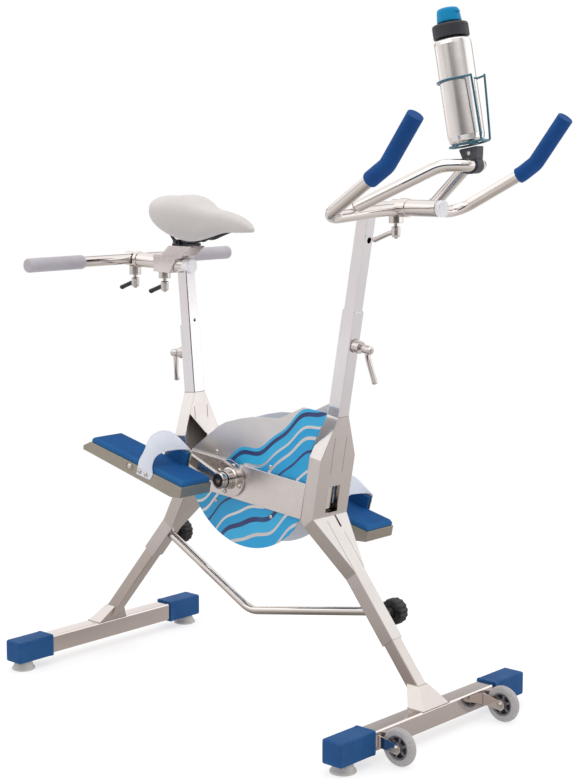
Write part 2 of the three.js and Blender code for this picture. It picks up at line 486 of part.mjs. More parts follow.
// ---------------------------------------------------------------- leg knobs
function legKnob(x, z) {
  const lobes = [];
  for (let i = 0; i < 28; i++) {
    const a = (2 * Math.PI * i) / 28, r = i % 2 ? 30 : 27.5;
    lobes.push([x + r * Math.cos(a), z + r * Math.sin(a)]);
  }
  return join(side(lobes, 42, 72), rod([x, 36.3, z], [x, 44, z], 13, 16), rod([x, 17.6 - 2, z], [x, 40, z], 5, 12));
}
add("front_leg_knob", legKnob(...FK), BLACK, 0.5, 0);
add("rear_leg_knob", legKnob(...RK), BLACK, 0.5, 0);

// ---------------------------------------------------------------- clamp levers
// screw along a direction from a boss, hub, and an arm with a thicker end
function lever(base, dir, armDir, len, drop) {
  const d = V(...dir).normalize(), a = V(...armDir).normalize(), b = V(...base);
  const at = (t, u = 0) => b.clone().addScaledVector(d, t).addScaledVector(a, u).toArray();
  return join(
    rod(at(-15), at(8), 4.8, 10),
    rod(at(7), at(30), 9.6, 14, 8.6),
    rod(at(30), at(34), 4.5, 8),
    rod(at(20, 3), at(20 + drop, len), 4, 8, 5),
    rod(at(20 + drop * 0.8, len * 0.88), at(20 + drop, len), 6, 8),
  );
}
{
  const n = [fpDir[1], 0, -fpDir[0]];
  const p = on(...FP_REF, fpDir, tAt(fpDir, FP_REF, FP_KNOB_Z), OUT / 2 + 19);
  add("handlebar_post_lever", lever([p[0], 0, p[1]], n, [-fpDir[0], 0, -fpDir[1]], 68, 32), STEEL);
  const m = [-spDir[1], 0, spDir[0]];
  const q = on(...SP_REF, spDir, tAt(spDir, SP_REF, SP_KNOB_Z), -(OUT / 2 + 19));
  add("saddle_post_lever", lever([q[0], 0, q[1]], m, [-spDir[0], 0, -spDir[1]], 66, 1), STEEL);
}

// ---------------------------------------------------------------- saddle post with its slide tube
const HEAD_SLOPE = -2.5; // the slide tube falls a little towards the front
const headZ = (x) => HEAD_Z + (x - HANDLE_X) * Math.tan(rad(HEAD_SLOPE));
const headRod = (x0, x1, r, n = 24) => rod([x0, 0, headZ(x0)], [x1, 0, headZ(x1)], r, n);
const BOSS_Z = 966; // lower face of the clamp bosses
{
  let post = square(spDir, SP_REF, tAt(spDir, SP_REF, SP_INNER_Z[0]), tAt(spDir, SP_REF, SP_INNER_Z[1]), INN);
  post = join(
    post,
    headRod(HEAD_X[0], HEAD_X[1], HEAD_R),
    headRod(131, 141, 20),
    rod([122, 0, headZ(122) - HEAD_R + 2], [122, 0, BOSS_Z], 14.5, 24),
  );
  post = cut(
    post,
    square(spDir, SP_REF, tAt(spDir, SP_REF, SP_INNER_Z[0]) - 5, tAt(spDir, SP_REF, 955), INN_BORE),
    headRod(HEAD_X[0] - 5, 302, 14.2),
    rod([122, 0, HEAD_Z], [122, 0, BOSS_Z - 5], 5.3, 12),
    box(80, 131, -30, 30, HEAD_Z - 13.4, HEAD_Z + 14.1), // notch that the cross bar rests in
  );
  add("saddle_post_and_slide_tube", post, STEEL);
}
add("rear_handle_lever", lever([122, 0, BOSS_Z], [0, 0, -1], [-1, 0, 0], 50, 14), 0x4a4a4e);
add("saddle_slide_lever", lever([225.5, 0, BOSS_Z - 4], [0, 0, -1], [-1, 0, 0], 50, 14), 0x4a4a4e);

// rear handle: a stem in the slide tube and a cross bar with foam grips
{
  const y1 = HANDLE_HALF - 3.3, bz = HEAD_Z + 0.3, r = 12.7;
  const bar = join(
    rod([HANDLE_X - 4, -y1, bz], [HANDLE_X - 4, y1, bz], r, 18),
    headRod(HANDLE_X - 4, 288, 13.4, 20).subtract(box(80, 131.4, -30, 30, 900, 1100)),
    rod([HANDLE_X - 4, 0, bz], [133, 0, headZ(133)], 12.4, 20),
  );
  add("rear_handle", cut(bar, rod([HANDLE_X - 4, -y1 - 5, bz], [HANDLE_X - 4, y1 + 5, bz], 10.9, 16), headRod(HANDLE_X, 295, 10.9, 16)), STEEL);
  for (const [tag, s] of [["right", -1], ["left", 1]]) {
    const prof = [[13, 165], [15.6, 165], [16.8, 168], [16.8, HANDLE_HALF - 4], [15.2, HANDLE_HALF], [0, HANDLE_HALF], [0, y1 + GAP], [13, y1 + GAP], [13, 165]];
    add(`rear_handle_grip_${tag}`, s > 0 ? turned(prof, [HANDLE_X - 4, 0, bz], [0, 1, 0], 20) : turned(prof.map((p) => [p[0], -p[1]]).reverse(), [HANDLE_X - 4, 0, bz], [0, 1, 0], 20), GREY, 0.85, 0);
  }
}

// saddle carriage: sleeve on the slide tube, slanted plates on both sides
const TOP_Z = 1043; // top of the slanted plates
{
  const sleeve = side([[208, headZ(208) - 21], [262, headZ(262) - 21], [290, headZ(290) + 21], [208, headZ(208) + 21]], -21, 21);
  const wings = side([[230, 1013], [302, 1013], [340, TOP_Z], [264, TOP_Z]], -24, 24);
  const gut = side([[200, 1021], [306, 1018], [362, TOP_Z - 3], [362, TOP_Z + 5], [262, TOP_Z + 5], [200, TOP_Z - 3]], -21, 21);
  let c = join(sleeve, cut(wings, gut), side([[266, TOP_Z - 6], [300, TOP_Z - 6], [300, TOP_Z], [266, TOP_Z]], -22, 22), rod([225.5, 0, 985], [225.5, 0, BOSS_Z - 4], 14.5, 24));
  c = cut(c, headRod(190, 360, HEAD_R + 0.5), rod([225.5, 0, HEAD_Z], [225.5, 0, BOSS_Z - 8], 5.3, 12));
  add("saddle_carriage", c, STEEL);
}
// rails and clamp under the saddle
{
  const zc = TOP_Z + GAP;
  let r = join(box(276, 326, -24, 24, zc, zc + 13), rod([301, -30, zc + 9], [301, 30, zc + 9], 7, 12));
  for (const s of [-1, 1]) {
    const pts = rounded([[266, s * 34, 1100], [284, s * 24, zc + 12], [340, s * 20, zc + 12], [444, s * 5, 1096]], 14, 2);
    r = join(r, sweep(pts, 3.5, 6));
  }
  r = join(r, box(436, 448, -7, 7, 1092, 1098), box(260, 271, -40, 40, 1096, 1104));
  add("saddle_rails_and_clamp", r, STEEL);
}
// closed skin through rings of equal length
function loft(rings) {
  const n = rings[0].length, pos = [], idx = [];
  for (const r of rings) for (const p of r) pos.push(p.x, p.y, p.z);
  for (let i = 0; i < rings.length - 1; i++)
    for (let j = 0; j < n; j++) {
      const a = i * n + j, b = i * n + ((j + 1) % n), c = a + n, d = b + n;
      idx.push(a, b, d, a, d, c);
    }
  for (const [k, flip] of [[0, true], [rings.length - 1, false]]) {
    const m = rings[k].reduce((q, p) => q.add(p), V(0, 0, 0)).multiplyScalar(1 / n), ci = pos.length / 3;
    pos.push(m.x, m.y, m.z);
    for (let j = 0; j < n; j++) {
      const a = k * n + j, b = k * n + ((j + 1) % n);
      if (flip) idx.push(ci, b, a);
      else idx.push(ci, a, b);
    }
  }
  const g = new THREE.BufferGeometry();
  g.setAttribute("position", new THREE.Float32BufferAttribute(pos, 3));
  g.setIndex(idx);
  return solid(g);
}
// saddle: stations of X, half width, top, bottom
{
  const stations = [
    [243, 30, 1146, 1124], [247, 60, 1155, 1112], [257, 84, 1161, 1098], [278, 95, 1164, 1082], [308, 92, 1163, 1068], [338, 76, 1154, 1061],
    [368, 56, 1142, 1063], [400, 40, 1133, 1070], [440, 28, 1126, 1077], [480, 21, 1115, 1079], [504, 15, 1103, 1080], [516, 7, 1091, 1082],
  ];
  const pw = (v, e) => Math.sign(v) * Math.abs(v) ** e;
  const ring = (x, w, top, bot, n = 16) => {
    const zc = bot + (top - bot) * 0.5, out = [];
    for (let i = 0; i < n; i++) {
      const t = (2 * Math.PI * i) / n;
      out.push(V(x, w * pw(Math.cos(t), 0.75), Math.sin(t) >= 0 ? zc + (top - zc) * pw(Math.sin(t), 0.85) : zc + (zc - bot) * pw(Math.sin(t), 0.85)));
    }
    return out;
  };
  let s = loft(stations.map(([x, w, t, b]) => ring(x, w, t, b)));
  const hollow = loft([[254, 58, 1128, 1040], [278, 72, 1138, 1040], [308, 70, 1138, 1040], [338, 52, 1128, 1040], [368, 34, 1118, 1040], [400, 21, 1112, 1040], [440, 13, 1108, 1050], [470, 8, 1102, 1060]].map(([x, w, t, b]) => ring(x, w, t, b, 12)));
  add("saddle", cut(s, hollow), 0xcac5c2, 0.6, 0);
}

// ---------------------------------------------------------------- handlebar post and handlebar
{
  let post = square(fpDir, FP_REF, tAt(fpDir, FP_REF, FP_INNER_Z[0]), tAt(fpDir, FP_REF, FP_INNER_Z[1]), INN);
  post = join(post, rod([843, 0, REC_Z], [1014, 0, REC_Z], 12.5, 20), rod([838, 0, REC_Z], [884, 0, REC_Z], 17.5, 24));
  const h = on(...FP_REF, fpDir, tAt(fpDir, FP_REF, 1079), 0), h2 = on(...FP_REF, fpDir, tAt(fpDir, FP_REF, 1079), 30);
  post = cut(
    post,
    square(fpDir, FP_REF, tAt(fpDir, FP_REF, FP_INNER_Z[0]) - 5, tAt(fpDir, FP_REF, 1116), INN_BORE),
    rod([h[0], 2, h[1]], [h2[0], 2, h2[1]], 5.5, 12), // drain hole in the front face
  );
  add("handlebar_post_and_slide", post, STEEL);
}
// bent bar and the upper hoop, welded to the sliding sleeve
const barPath = (s) => [[925, s * 226, 1131], [1080, s * 256, 1219], [1113, s * 255.5, 1241], [1182, s * 258.8, 1334]];
const hoopPath = (d) => rounded([[930 + d * 0.2, -135, 1151 - d], [1086, -48, 1239], [1136, -27, 1240], [1136, 27, 1240], [1086, 48, 1239], [930 + d * 0.2, 135, 1151 - d]], [90, 20, 20, 90], 3);
{
  const path = rounded([...barPath(-1).reverse(), [944, 0, 1149], ...barPath(1)], [42, 60, 48, 900, 48, 60, 42], 3);
  let b = join(rod([REC_X[0], 0, REC_Z], [REC_X[1], 0, REC_Z], REC_R, 24), sweep(path, 13, 10), sweep(hoopPath(0), 13, 10));
  b = join(b, rod([934, 0, REC_Z - REC_R + 3], [934, 0, REC_Z - 33], 15.5, 24), rod([948, 0, REC_Z], [968, 0, REC_Z], 20, 24));
  b = cut(b, sweep(path, 11.2, 6), sweep(hoopPath(9), 11, 6), rod([REC_X[0] - 20, 0, REC_Z], [REC_X[1] - 12, 0, REC_Z], 12.9, 24), rod([934, 0, REC_Z - 5], [934, 0, 1100], 5.3, 12));
  add("handlebar", b, STEEL);
  for (const [tag, s] of [["right", -1], ["left", 1]]) {
    const [c0, g0, g1, g2] = barPath(s).map((p) => V(...p));
    const e = g2.clone().sub(g1).normalize(), d0 = g0.clone().sub(c0).normalize();
    const start = g0.clone().addScaledVector(d0, -12);
    const outer = rounded([start.toArray(), g0.toArray(), g1.toArray(), g2.clone().addScaledVector(e, 5).toArray()], [20, 42], 5);
    const inner = rounded([start.clone().addScaledVector(d0, -20).toArray(), g0.toArray(), g1.toArray(), g2.clone().addScaledVector(e, GAP).toArray()], [20, 42], 5);
    add(`handlebar_grip_${tag}`, cut(sweep(outer, 17.4, 10), sweep(inner, 14.4, 10)), BLUE, 0.85, 0);
  }
}
add("handlebar_slide_lever", lever([934, 0, REC_Z - 33], [0, 0, -1], [-1, 0, 0], 60, 12), STEEL);

// ---------------------------------------------------------------- bottle clamp, cage, bottle
{
  const base = V(1117, 0, 1286), tip = V(1073, 0, 1504), ax = tip.clone().sub(base).normalize();
  const Y = V(0, 1, 0), fw = new THREE.Vector3().crossVectors(Y, ax); // square to the axis, towards +X
  const at = (t, u = 0, v = 0) => base.clone().addScaledVector(ax, t).addScaledVector(fw, u).addScaledVector(Y, v);
  // clamp around the front of the hoop
  let clamp = join(
    rod([1136, -11, 1240], [1136, 11, 1240], 17.5, 18),
    side([[1112, 1246], [1150, 1246], [1150, 1279], [1104, 1271]], -12, 12),
    side([[1112, 1224], [1127, 1221], [1129, 1240], [1114, 1240]], -8, 8),
  );
  clamp = cut(clamp, sweep(hoopPath(0), 13.3, 10));
  add("bottle_clamp", clamp, 0x3b3d44, 0.6, 0);
  // wire cage: ring around the back, two uprights in front, loop below
  const w = 2.3, R = 42.5;
  const half = (s) => {
    const out = [];
    for (let i = 0; i <= 6; i++) {
      const a = rad(180 - i * 21.5);
      out.push(at(127, R * Math.cos(a), s * R * Math.sin(a)));
    }
    return out;
  };
  const arm = (s) => [at(127, 50, s * 23), at(60, 48.5, s * 19), at(-4.5, 46, s * 15)];
  const ringPts = [...arm(-1).reverse(), ...half(-1).reverse(), ...half(1).slice(1), ...arm(1)];
  let cage = sweep(ringPts, w, 6);
  for (const s of [-1, 1]) cage = join(cage, sweep([at(-4.5, 46, s * 15), at(-4.5, 0, s * 26), at(-4.5, -38, s * 12)], w, 6));
  cage = join(cage, sweep([at(-4.5, -38, -12.5), at(-4.5, -38, 12.5)], w, 6), sweep([at(-4.5, 46, -15.5), at(-4.5, 46, 15.5)], w, 6));
  cage = join(cage, sweep([at(-4.5, 12, -23), at(-4.5, 12, 23)], w, 6));
  cage = cut(cage, clamp);
  add("bottle_cage", cage, 0x0e6f86, 0.4, 0.2);
  const q = ax.toArray(), o = base.toArray();
  add("bottle_body", turned([[0, -1.4], [31, -1.4], [36, 2], [38.3, 12], [38.3, 200], [37.2, 207], [33.5, 212], [28, 214], [28, 217.7], [26.6, 217.7], [26.6, 213], [32.5, 210.6], [35.8, 206], [36.8, 199.6], [36.8, 12.4], [34.9, 3.2], [30.4, 0.2], [0, 0.2]], o, q, 22), STEEL, 0.3, 0.95);
  add("bottle_lid", turned([[0, 218], [29, 218], [29, 214.6], [36.2, 214.6], [37.4, 216], [37.4, 239], [36, 242], [21, 244], [21, 246], [0, 246]], o, q, 28), 0x3a3b40, 0.5, 0);
  add("bottle_flip_cap", turned([[0, 246.3], [24.5, 246.3], [25.5, 249], [23, 271], [18, 275], [0, 275.6]], o, q, 24), 0x2ba7dd, 0.45, 0);
}

// ---------------------------------------------------------------- group
const group = new THREE.Group();
const shifted = new THREE.Group();
shifted.position.set(-ORIGIN_X, 0, -FLOOR_Z);
for (const m of meshes) shifted.add(m);
group.add(shifted);

export default group;
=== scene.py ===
import math

import bmesh
import bpy
from mathutils import Matrix, Quaternion, Vector

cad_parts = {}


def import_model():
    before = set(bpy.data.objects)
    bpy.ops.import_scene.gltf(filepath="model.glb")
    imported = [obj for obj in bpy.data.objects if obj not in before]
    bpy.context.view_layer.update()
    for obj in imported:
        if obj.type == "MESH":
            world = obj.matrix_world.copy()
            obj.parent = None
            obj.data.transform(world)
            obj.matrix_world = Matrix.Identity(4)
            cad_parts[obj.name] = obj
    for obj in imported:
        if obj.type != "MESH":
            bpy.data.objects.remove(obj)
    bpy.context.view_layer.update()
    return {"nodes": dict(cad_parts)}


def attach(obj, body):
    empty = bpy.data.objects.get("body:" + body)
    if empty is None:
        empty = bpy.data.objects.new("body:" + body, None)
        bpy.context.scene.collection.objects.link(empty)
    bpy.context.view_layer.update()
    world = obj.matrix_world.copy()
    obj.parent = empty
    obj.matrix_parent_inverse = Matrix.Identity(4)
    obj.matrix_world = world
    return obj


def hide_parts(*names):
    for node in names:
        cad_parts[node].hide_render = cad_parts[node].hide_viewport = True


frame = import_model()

SCENE = bpy.context.scene

# ------------------------------------------------------------------ camera
cam = bpy.data.objects.new("camera", bpy.data.cameras.new("camera"))
SCENE.collection.objects.link(cam)
cam.location = (2.6222, -2.8686, 1.2782)
cam.rotation_euler = (math.radians(90 - 8.22), 0, math.radians(41.88))
cam.data.sensor_fit = "VERTICAL"
cam.data.sensor_height = 36
cam.data.sensor_width = 36
cam.data.lens = 78.95
cam.data.clip_end = 200
SCENE.camera = cam

# ------------------------------------------------------------------ measures, millimetres from the rear foot bar
OX, OZ = 584.2, 6  # middle of the object, and the floor's height in the heights below
OUT, OUT_BORE, INN, INN_BORE = 35, 30.6, 30, 26
BAR, BAR_Z, REAR_BAR_X, FRONT_BAR_X, REAR_HALF, FRONT_HALF = 44, 54, 0, 1036, 310, 326
FP_REF, SP_REF, FL_REF, RL_REF = (817, 923), (324.6, 692.5), (837, 320), (25, 103.5)
DISC, AXLE, CRANK_R, CRANK_ANGLE = (542.5, 552.7, 195.5), (501, 516.5), 150, 157.5
WHEEL_X, WHEEL_Y, WHEEL_Z, FORK_Y = 1103, 186, 47.5, 13.5
HEAD_Z, HANDLE_X, HANDLE_HALF, BOSS_Z, TOP_Z = 1004, 119.5, 333, 966, 1043
REC_Z = 1149


def rad(d):
    return math.radians(d)


def V(x, y, z):
    return Vector((x, y, z))


fp = (math.sin(rad(10)), math.cos(rad(10)))
sp = (math.sin(rad(-5.1)), math.cos(rad(-5.1)))
fl = (-math.cos(rad(51.5)), math.sin(rad(51.5)))
rl = (math.cos(rad(49.7)), math.sin(rad(49.7)))


def on(ref, d, t, nrm=0):
    return (ref[0] + d[0] * t + d[1] * nrm, ref[1] + d[1] * t - d[0] * nrm)


def tat(d, ref, z):
    return (z - ref[1]) / d[1]


def p3(q, y=0):
    return V(q[0], y, q[1])


# ------------------------------------------------------------------ mesh helpers, all in millimetres
def fix(bm):
    bmesh.ops.recalc_face_normals(bm, faces=bm.faces)
    return bm


def raw(verts, faces):
    bm = bmesh.new()
    vs = [bm.verts.new(v) for v in verts]
    for f in faces:
        try:
            bm.faces.new([vs[i] for i in f])
        except ValueError:
            pass
    return fix(bm)


def bevel(bm, w, seg=2, angle=28, limit=None):
    edges = [e for e in bm.edges if len(e.link_faces) == 2 and e.calc_face_angle(0) > rad(angle) and (limit is None or limit(e))]
    if edges and w:
        bmesh.ops.bevel(bm, geom=edges, offset=w, offset_type="OFFSET", segments=seg, profile=0.5, affect="EDGES", clamp_overlap=False)
    return bm


def round2(pts, r, k=4, closed=True, only=None):
    """rounds the corners of an outline of two numbers a point"""
    n, out = len(pts), []
    for i in range(n):
        p = Vector(pts[i][:2])
        if (not closed and i in (0, n - 1)) or (only is not None and i not in only):
            out.append(tuple(p))
            continue
        a, b = Vector(pts[i - 1][:2]) - p, Vector(pts[(i + 1) % n][:2]) - p
        if a.length < 1e-6 or b.length < 1e-6:
            continue
        rr = r[i] if isinstance(r, (list, tuple)) else r
        half = a.angle(b, math.pi) / 2
        if rr <= 0 or half > rad(88):
            out.append(tuple(p))
            continue
        t = min(rr / math.tan(half), 0.47 * a.length, 0.47 * b.length)
        p0, p1 = p + a.normalized() * t, p + b.normalized() * t
        for j in range(k + 1):
            u = j / k
            out.append(tuple(p0 * (1 - u) ** 2 + p * 2 * u * (1 - u) + p1 * u * u))
    return out


def rsq(w, r, k=4):
    """rounded square section, or a rectangle when w is a pair"""
    a, b = (w[0] / 2, w[1] / 2) if isinstance(w, (list, tuple)) else (w / 2, w / 2)
    out = []
    for cx, cy, s in ((a - r, b - r, 0), (-a + r, b - r, 90), (-a + r, -b + r, 180), (a - r, -b + r, 270)):
        for j in range(k + 1):
            t = rad(s + 90 * j / k)
            out.append((cx + r * math.cos(t), cy + r * math.sin(t)))
    return out


def circle(r, n=32):
    return [(r * math.cos(2 * math.pi * i / n), r * math.sin(2 * math.pi * i / n)) for i in range(n)]


def loft(rings, close_start=True, close_end=True, wrap=False):
    n = len(rings[0])
    verts = [p for r in rings for p in r]
    faces = []
    m = len(rings)
    for i in range(m if wrap else m - 1):
        for j in range(n):
            a, b = i * n + j, i * n + (j + 1) % n
            c, d = ((i + 1) % m) * n + j, ((i + 1) % m) * n + (j + 1) % n
            faces.append((a, b, d, c))
    if not wrap:
        if close_start:
            faces.append(tuple(range(n))[::-1])
        if close_end:
            faces.append(tuple((m - 1) * n + j for j in range(n)))
    return raw(verts, faces)


def frames(path, ref=None):
    n = len(path)
    T = [(path[min(i + 1, n - 1)] - path[max(i - 1, 0)]).normalized() for i in range(n)]
    A = Vector(ref) if ref is not None else (V(0, 0, 1) if abs(T[0].z) < 0.9 else V(0, 1, 0))
    out = []
    for i in range(n):
        if i:
            A = T[i - 1].rotation_difference(T[i]) @ A
        A = (A - T[i] * A.dot(T[i])).normalized()
        out.append((A.copy(), T[i].cross(A), T[i]))
    return out


def sweep(path, sec, inner=None, ref=None, scales=None):
    fr = frames(path, ref)
    sc = scales or [1] * len(path)

    def rings(s, k=1.0):
        return [[path[i] + A * a * (sc[i] if k else 1) + B * b * (sc[i] if k else 1) for a, b in s] for i, (A, B, T) in enumerate(fr)]

    o = rings(sec)
    if inner is None:
        return loft(o)
    q = rings(inner, 0)
    return loft(o + q[::-1], wrap=True)


def tube(path, r, n=32, hollow=None, soft=0.8, ref=None):
    """round tube with a small rounding at its ends"""
    path = [Vector(p) for p in path]
    d0, d1 = (path[1] - path[0]).normalized(), (path[-1] - path[-2]).normalized()
    full = [path[0], path[0] + d0 * soft * 0.3, path[0] + d0 * soft] + path[1:-1] + [path[-1] - d1 * soft, path[-1] - d1 * soft * 0.3, path[-1]]
    k = [1 - soft / r, 1 - soft * 0.3 / r, 1] + [1] * (len(path) - 2) + [1, 1 - soft * 0.3 / r, 1 - soft / r]
    return sweep(full, circle(r, n), circle(hollow, n) if hollow else None, ref, k)


def sqtube(d, ref, t0, t1, w, r=3, hollow=None, soft=0.7, r2=2):
    pts = [p3(on(ref, d, t)) for t in (t0, t0 + soft * 0.3, t0 + soft, t1 - soft, t1 - soft * 0.3, t1)]
    k = [1 - 2 * soft / w, 1 - 0.6 * soft / w, 1, 1, 1 - 0.6 * soft / w, 1 - 2 * soft / w]
    return sweep(pts, rsq(w, r), rsq(hollow, r2) if hollow else None, (0, 1, 0), k)


def lathe(prof, o, ax, n=64, closed=False, wob=None):
    """turned shape: profile of (radius, along); wob(angle, radius, along) may change the radius"""
    ax = Vector(ax).normalized()
    A = (V(0, 0, 1) if abs(ax.z) < 0.9 else V(1, 0, 0))
    A = (A - ax * A.dot(ax)).normalized()
    B = ax.cross(A)
    o = Vector(o)
    verts, idx = [], []
    for r, t in prof:
        if r < 1e-6:
            idx.append([len(verts)] * n)
            verts.append(o + ax * t)
        else:
            row = []
            for j in range(n):
                a = 2 * math.pi * j / n
                rr = wob(a, r, t) if wob else r
                row.append(len(verts))
                verts.append(o + ax * t + (A * math.cos(a) + B * math.sin(a)) * rr)
            idx.append(row)
    faces = []
    m = len(prof)
    for i in range(m if closed else m - 1):
        p, q = idx[i], idx[(i + 1) % m]
        for j in range(n):
            k = (j + 1) % n
            f = [p[j], p[k], q[k], q[j]]
            g = []
            for v in f:
                if v not in g:
                    g.append(v)
            if len(g) > 2:
                faces.append(g)
    return raw(verts, faces)


def prof(points, r=0.8, k=3, closed=False):
    return round2(points, r, k, closed)


def prism(pts, o, U, W, depth, w=0.6, seg=2):
    U, W = Vector(U), Vector(W)
    N = U.cross(W).normalized()
    o = Vector(o)
    a = [o + U * p[0] + W * p[1] for p in pts]
    b = [q + N * depth for q in a]
    n = len(pts)
    bm = raw(a + b, [tuple(range(n))[::-1], tuple(range(n, 2 * n))] + [(i, (i + 1) % n, n + (i + 1) % n, n + i) for i in range(n)])
    return bevel(bm, w, seg)


def side(pts, y0, y1, w=0.6, seg=2):
    return prism(pts, (0, max(y0, y1), 0), (1, 0, 0), (0, 0, 1), abs(y1 - y0), w, seg)


def box(x0, x1, y0, y1, z0, z1, w=0.8, seg=2):
    return side([(x0, z0), (x1, z0), (x1, z1), (x0, z1)], y0, y1, w, seg)


def hexa(o, ax, r, h, w=0.5, n=6):
    """hexagon head or nut standing on o along ax"""
    ax = Vector(ax).normalized()
    A = (V(0, 0, 1) if abs(ax.z) < 0.9 else V(1, 0, 0))
    A = (A - ax * A.dot(ax)).normalized()
    B = ax.cross(A)
    return prism(circle(r, n), o, A, B, h, w, 2)


def rounded(points, radii, steps=8):
    P = [Vector(p) for p in points]
    out = [P[0]]
    for i in range(1, len(P) - 1):
        a, b = (P[i - 1] - P[i]).normalized(), (P[i + 1] - P[i]).normalized()
        half = a.angle(b) / 2
        r = radii[i - 1] if isinstance(radii, (list, tuple)) else radii
        t = r / math.tan(half)
        p0 = P[i] + a * t
        axis = a.cross(b).normalized()
        c = P[i] + (a + b).normalized() * (r / math.sin(half))
        s, total = p0 - c, math.pi - 2 * half
        for k in range(steps + 1):
            out.append(c + Quaternion(axis, -total * k / steps) @ s)
    out.append(P[-1])
    return out


def spline(points, per=6):
    """smooth curve through the points"""
    P = [Vector(p) for p in points]
    P = [P[0] * 2 - P[1]] + P + [P[-1] * 2 - P[-2]]
    out = []
    for i in range(1, len(P) - 2):
        for k in range(per):
            t = k / per
            a, b, c, d = P[i - 1], P[i], P[i + 1], P[i + 2]
            out.append(0.5 * ((2 * b) + (c - a) * t + (2 * a - 5 * b + 4 * c - d) * t * t + (3 * b - a - 3 * c + d) * t ** 3))
    out.append(P[-2])
    return out


def bead(path, r=1.5, n=8, pitch=2.2, amp=0.22, closed=True):
    """weld bead with ripples along a path"""
    pts = [Vector(p) for p in path]
    if closed:
        pts = pts + [pts[0]]
    L = [0]
    for i in range(1, len(pts)):
        L.append(L[-1] + (pts[i] - pts[i - 1]).length)
    m = max(6, int(L[-1] / (pitch / 3)))
    dense, j = [], 0
    for i in range(m + (0 if closed else 1)):
        s = L[-1] * i / m
        while L[j + 1] < s and j < len(L) - 2:
            j += 1
        dense.append(pts[j].lerp(pts[j + 1], (s - L[j]) / max(1e-9, L[j + 1] - L[j])))
    rings = []
    for i, p in enumerate(dense):
        T = (dense[(i + 1) % len(dense)] - dense[i - 1]) if closed else (dense[min(i + 1, len(dense) - 1)] - dense[max(i - 1, 0)])
        T.normalize()
        A = T.orthogonal().normalized() if i == 0 else (A - T * A.dot(T)).normalized()
        B = T.cross(A)
        k = r * (1 + amp * math.sin(2 * math.pi * i / 3))
        rings.append([p + A * k * math.cos(2 * math.pi * a / n) + B * k * math.sin(2 * math.pi * a / n) for a in range(n)])
    return loft(rings, wrap=closed) if not closed else loft(rings, wrap=True)


def ring_path(o, ax, r, n=48):
    ax = Vector(ax).normalized()
    A = ax.orthogonal().normalized()
    B = ax.cross(A)
    return [Vector(o) + A * r * math.cos(2 * math.pi * i / n) + B * r * math.sin(2 * math.pi * i / n) for i in range(n)]


def merge(parts):
    """[(bmesh, material index)] as one bmesh"""
    out = bmesh.new()
    for bm, mi in parts:
        for f in bm.faces:
            f.material_index = mi
        me = bpy.data.meshes.new("t")
        bm.to_mesh(me)
        bm.free()
        out.from_mesh(me)
        bpy.data.meshes.remove(me)
    return out


BUILT = {}


def make(name, parts, mats, body, replaces=(), sharp=38, weighted=True, mm=True):
    """one piece from mesh parts; mats is a material or a list of them"""
    mats = mats if isinstance(mats, (list, tuple)) else [mats]
    parts = [p if isinstance(p, tuple) else (p, 0) for p in (parts if isinstance(parts, list) else [parts])]
    bm = merge(parts)
    if mm:
        bmesh.ops.transform(bm, matrix=Matrix.Diagonal((0.001, 0.001, 0.001, 1)) @ Matrix.Translation((-OX, 0, -OZ)), verts=bm.verts)
    me = bpy.data.meshes.new(name)
    bm.to_mesh(me)
    bm.free()
    me.shade_smooth()
    me.set_sharp_from_angle(angle=rad(sharp))
    for m in mats:
        me.materials.append(m)
    o = bpy.data.objects.new(name, me)
    SCENE.collection.objects.link(o)
    if weighted:
        w = o.modifiers.new("normals", "WEIGHTED_NORMAL")
        w.keep_sharp = True
    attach(o, body)
    if replaces:
        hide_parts(*([replaces] if isinstance(replaces, str) else replaces))
    BUILT[name] = o
    return o


def cad(node, w=0.8, seg=2, angle=28, keep=None):
    """a copy of a CAD node's shape in millimetres, flat faces whole again, edges eased"""
    bm = bmesh.new()
    bm.from_mesh(frame["nodes"][node].data)
    bmesh.ops.transform(bm, matrix=Matrix.Translation((OX, 0, OZ)) @ Matrix.Diagonal((1000, 1000, 1000, 1)), verts=bm.verts)
    bmesh.ops.remove_doubles(bm, verts=bm.verts, dist=0.02)
    bmesh.ops.dissolve_limit(bm, angle_limit=rad(0.8), verts=bm.verts, edges=bm.edges, use_dissolve_boundaries=False)
    fix(bm)
    return bevel(bm, w, seg, angle, keep)


def boolean(bm, cutters):
    """bm less the cutters"""
    def obj(b, nm):
        me = bpy.data.meshes.new(nm)
        b.to_mesh(me)
        b.free()
        o = bpy.data.objects.new(nm, me)
        SCENE.collection.objects.link(o)
        return o

    a = obj(bm, "cut_a")
    rest = [obj(c, f"cut_b{i}") for i, c in enumerate(cutters)]
    for c in rest:
        m = a.modifiers.new("cut", "BOOLEAN")
        m.operation, m.object, m.solver = "DIFFERENCE", c, "EXACT"
    dg = bpy.context.evaluated_depsgraph_get()
    me = bpy.data.meshes.new_from_object(a.evaluated_get(dg))
    out = bmesh.new()
    out.from_mesh(me)
    for o in [a] + rest:
        d = o.data
        bpy.data.objects.remove(o)
        bpy.data.meshes.remove(d)
    bpy.data.meshes.remove(me)
    return out


# ------------------------------------------------------------------ materials
def C(r, g, b):
    return tuple((c / 255 / 12.92) if c / 255 <= 0.04045 else ((c / 255 + 0.055) / 1.055) ** 2.4 for c in (r, g, b)) + (1,)


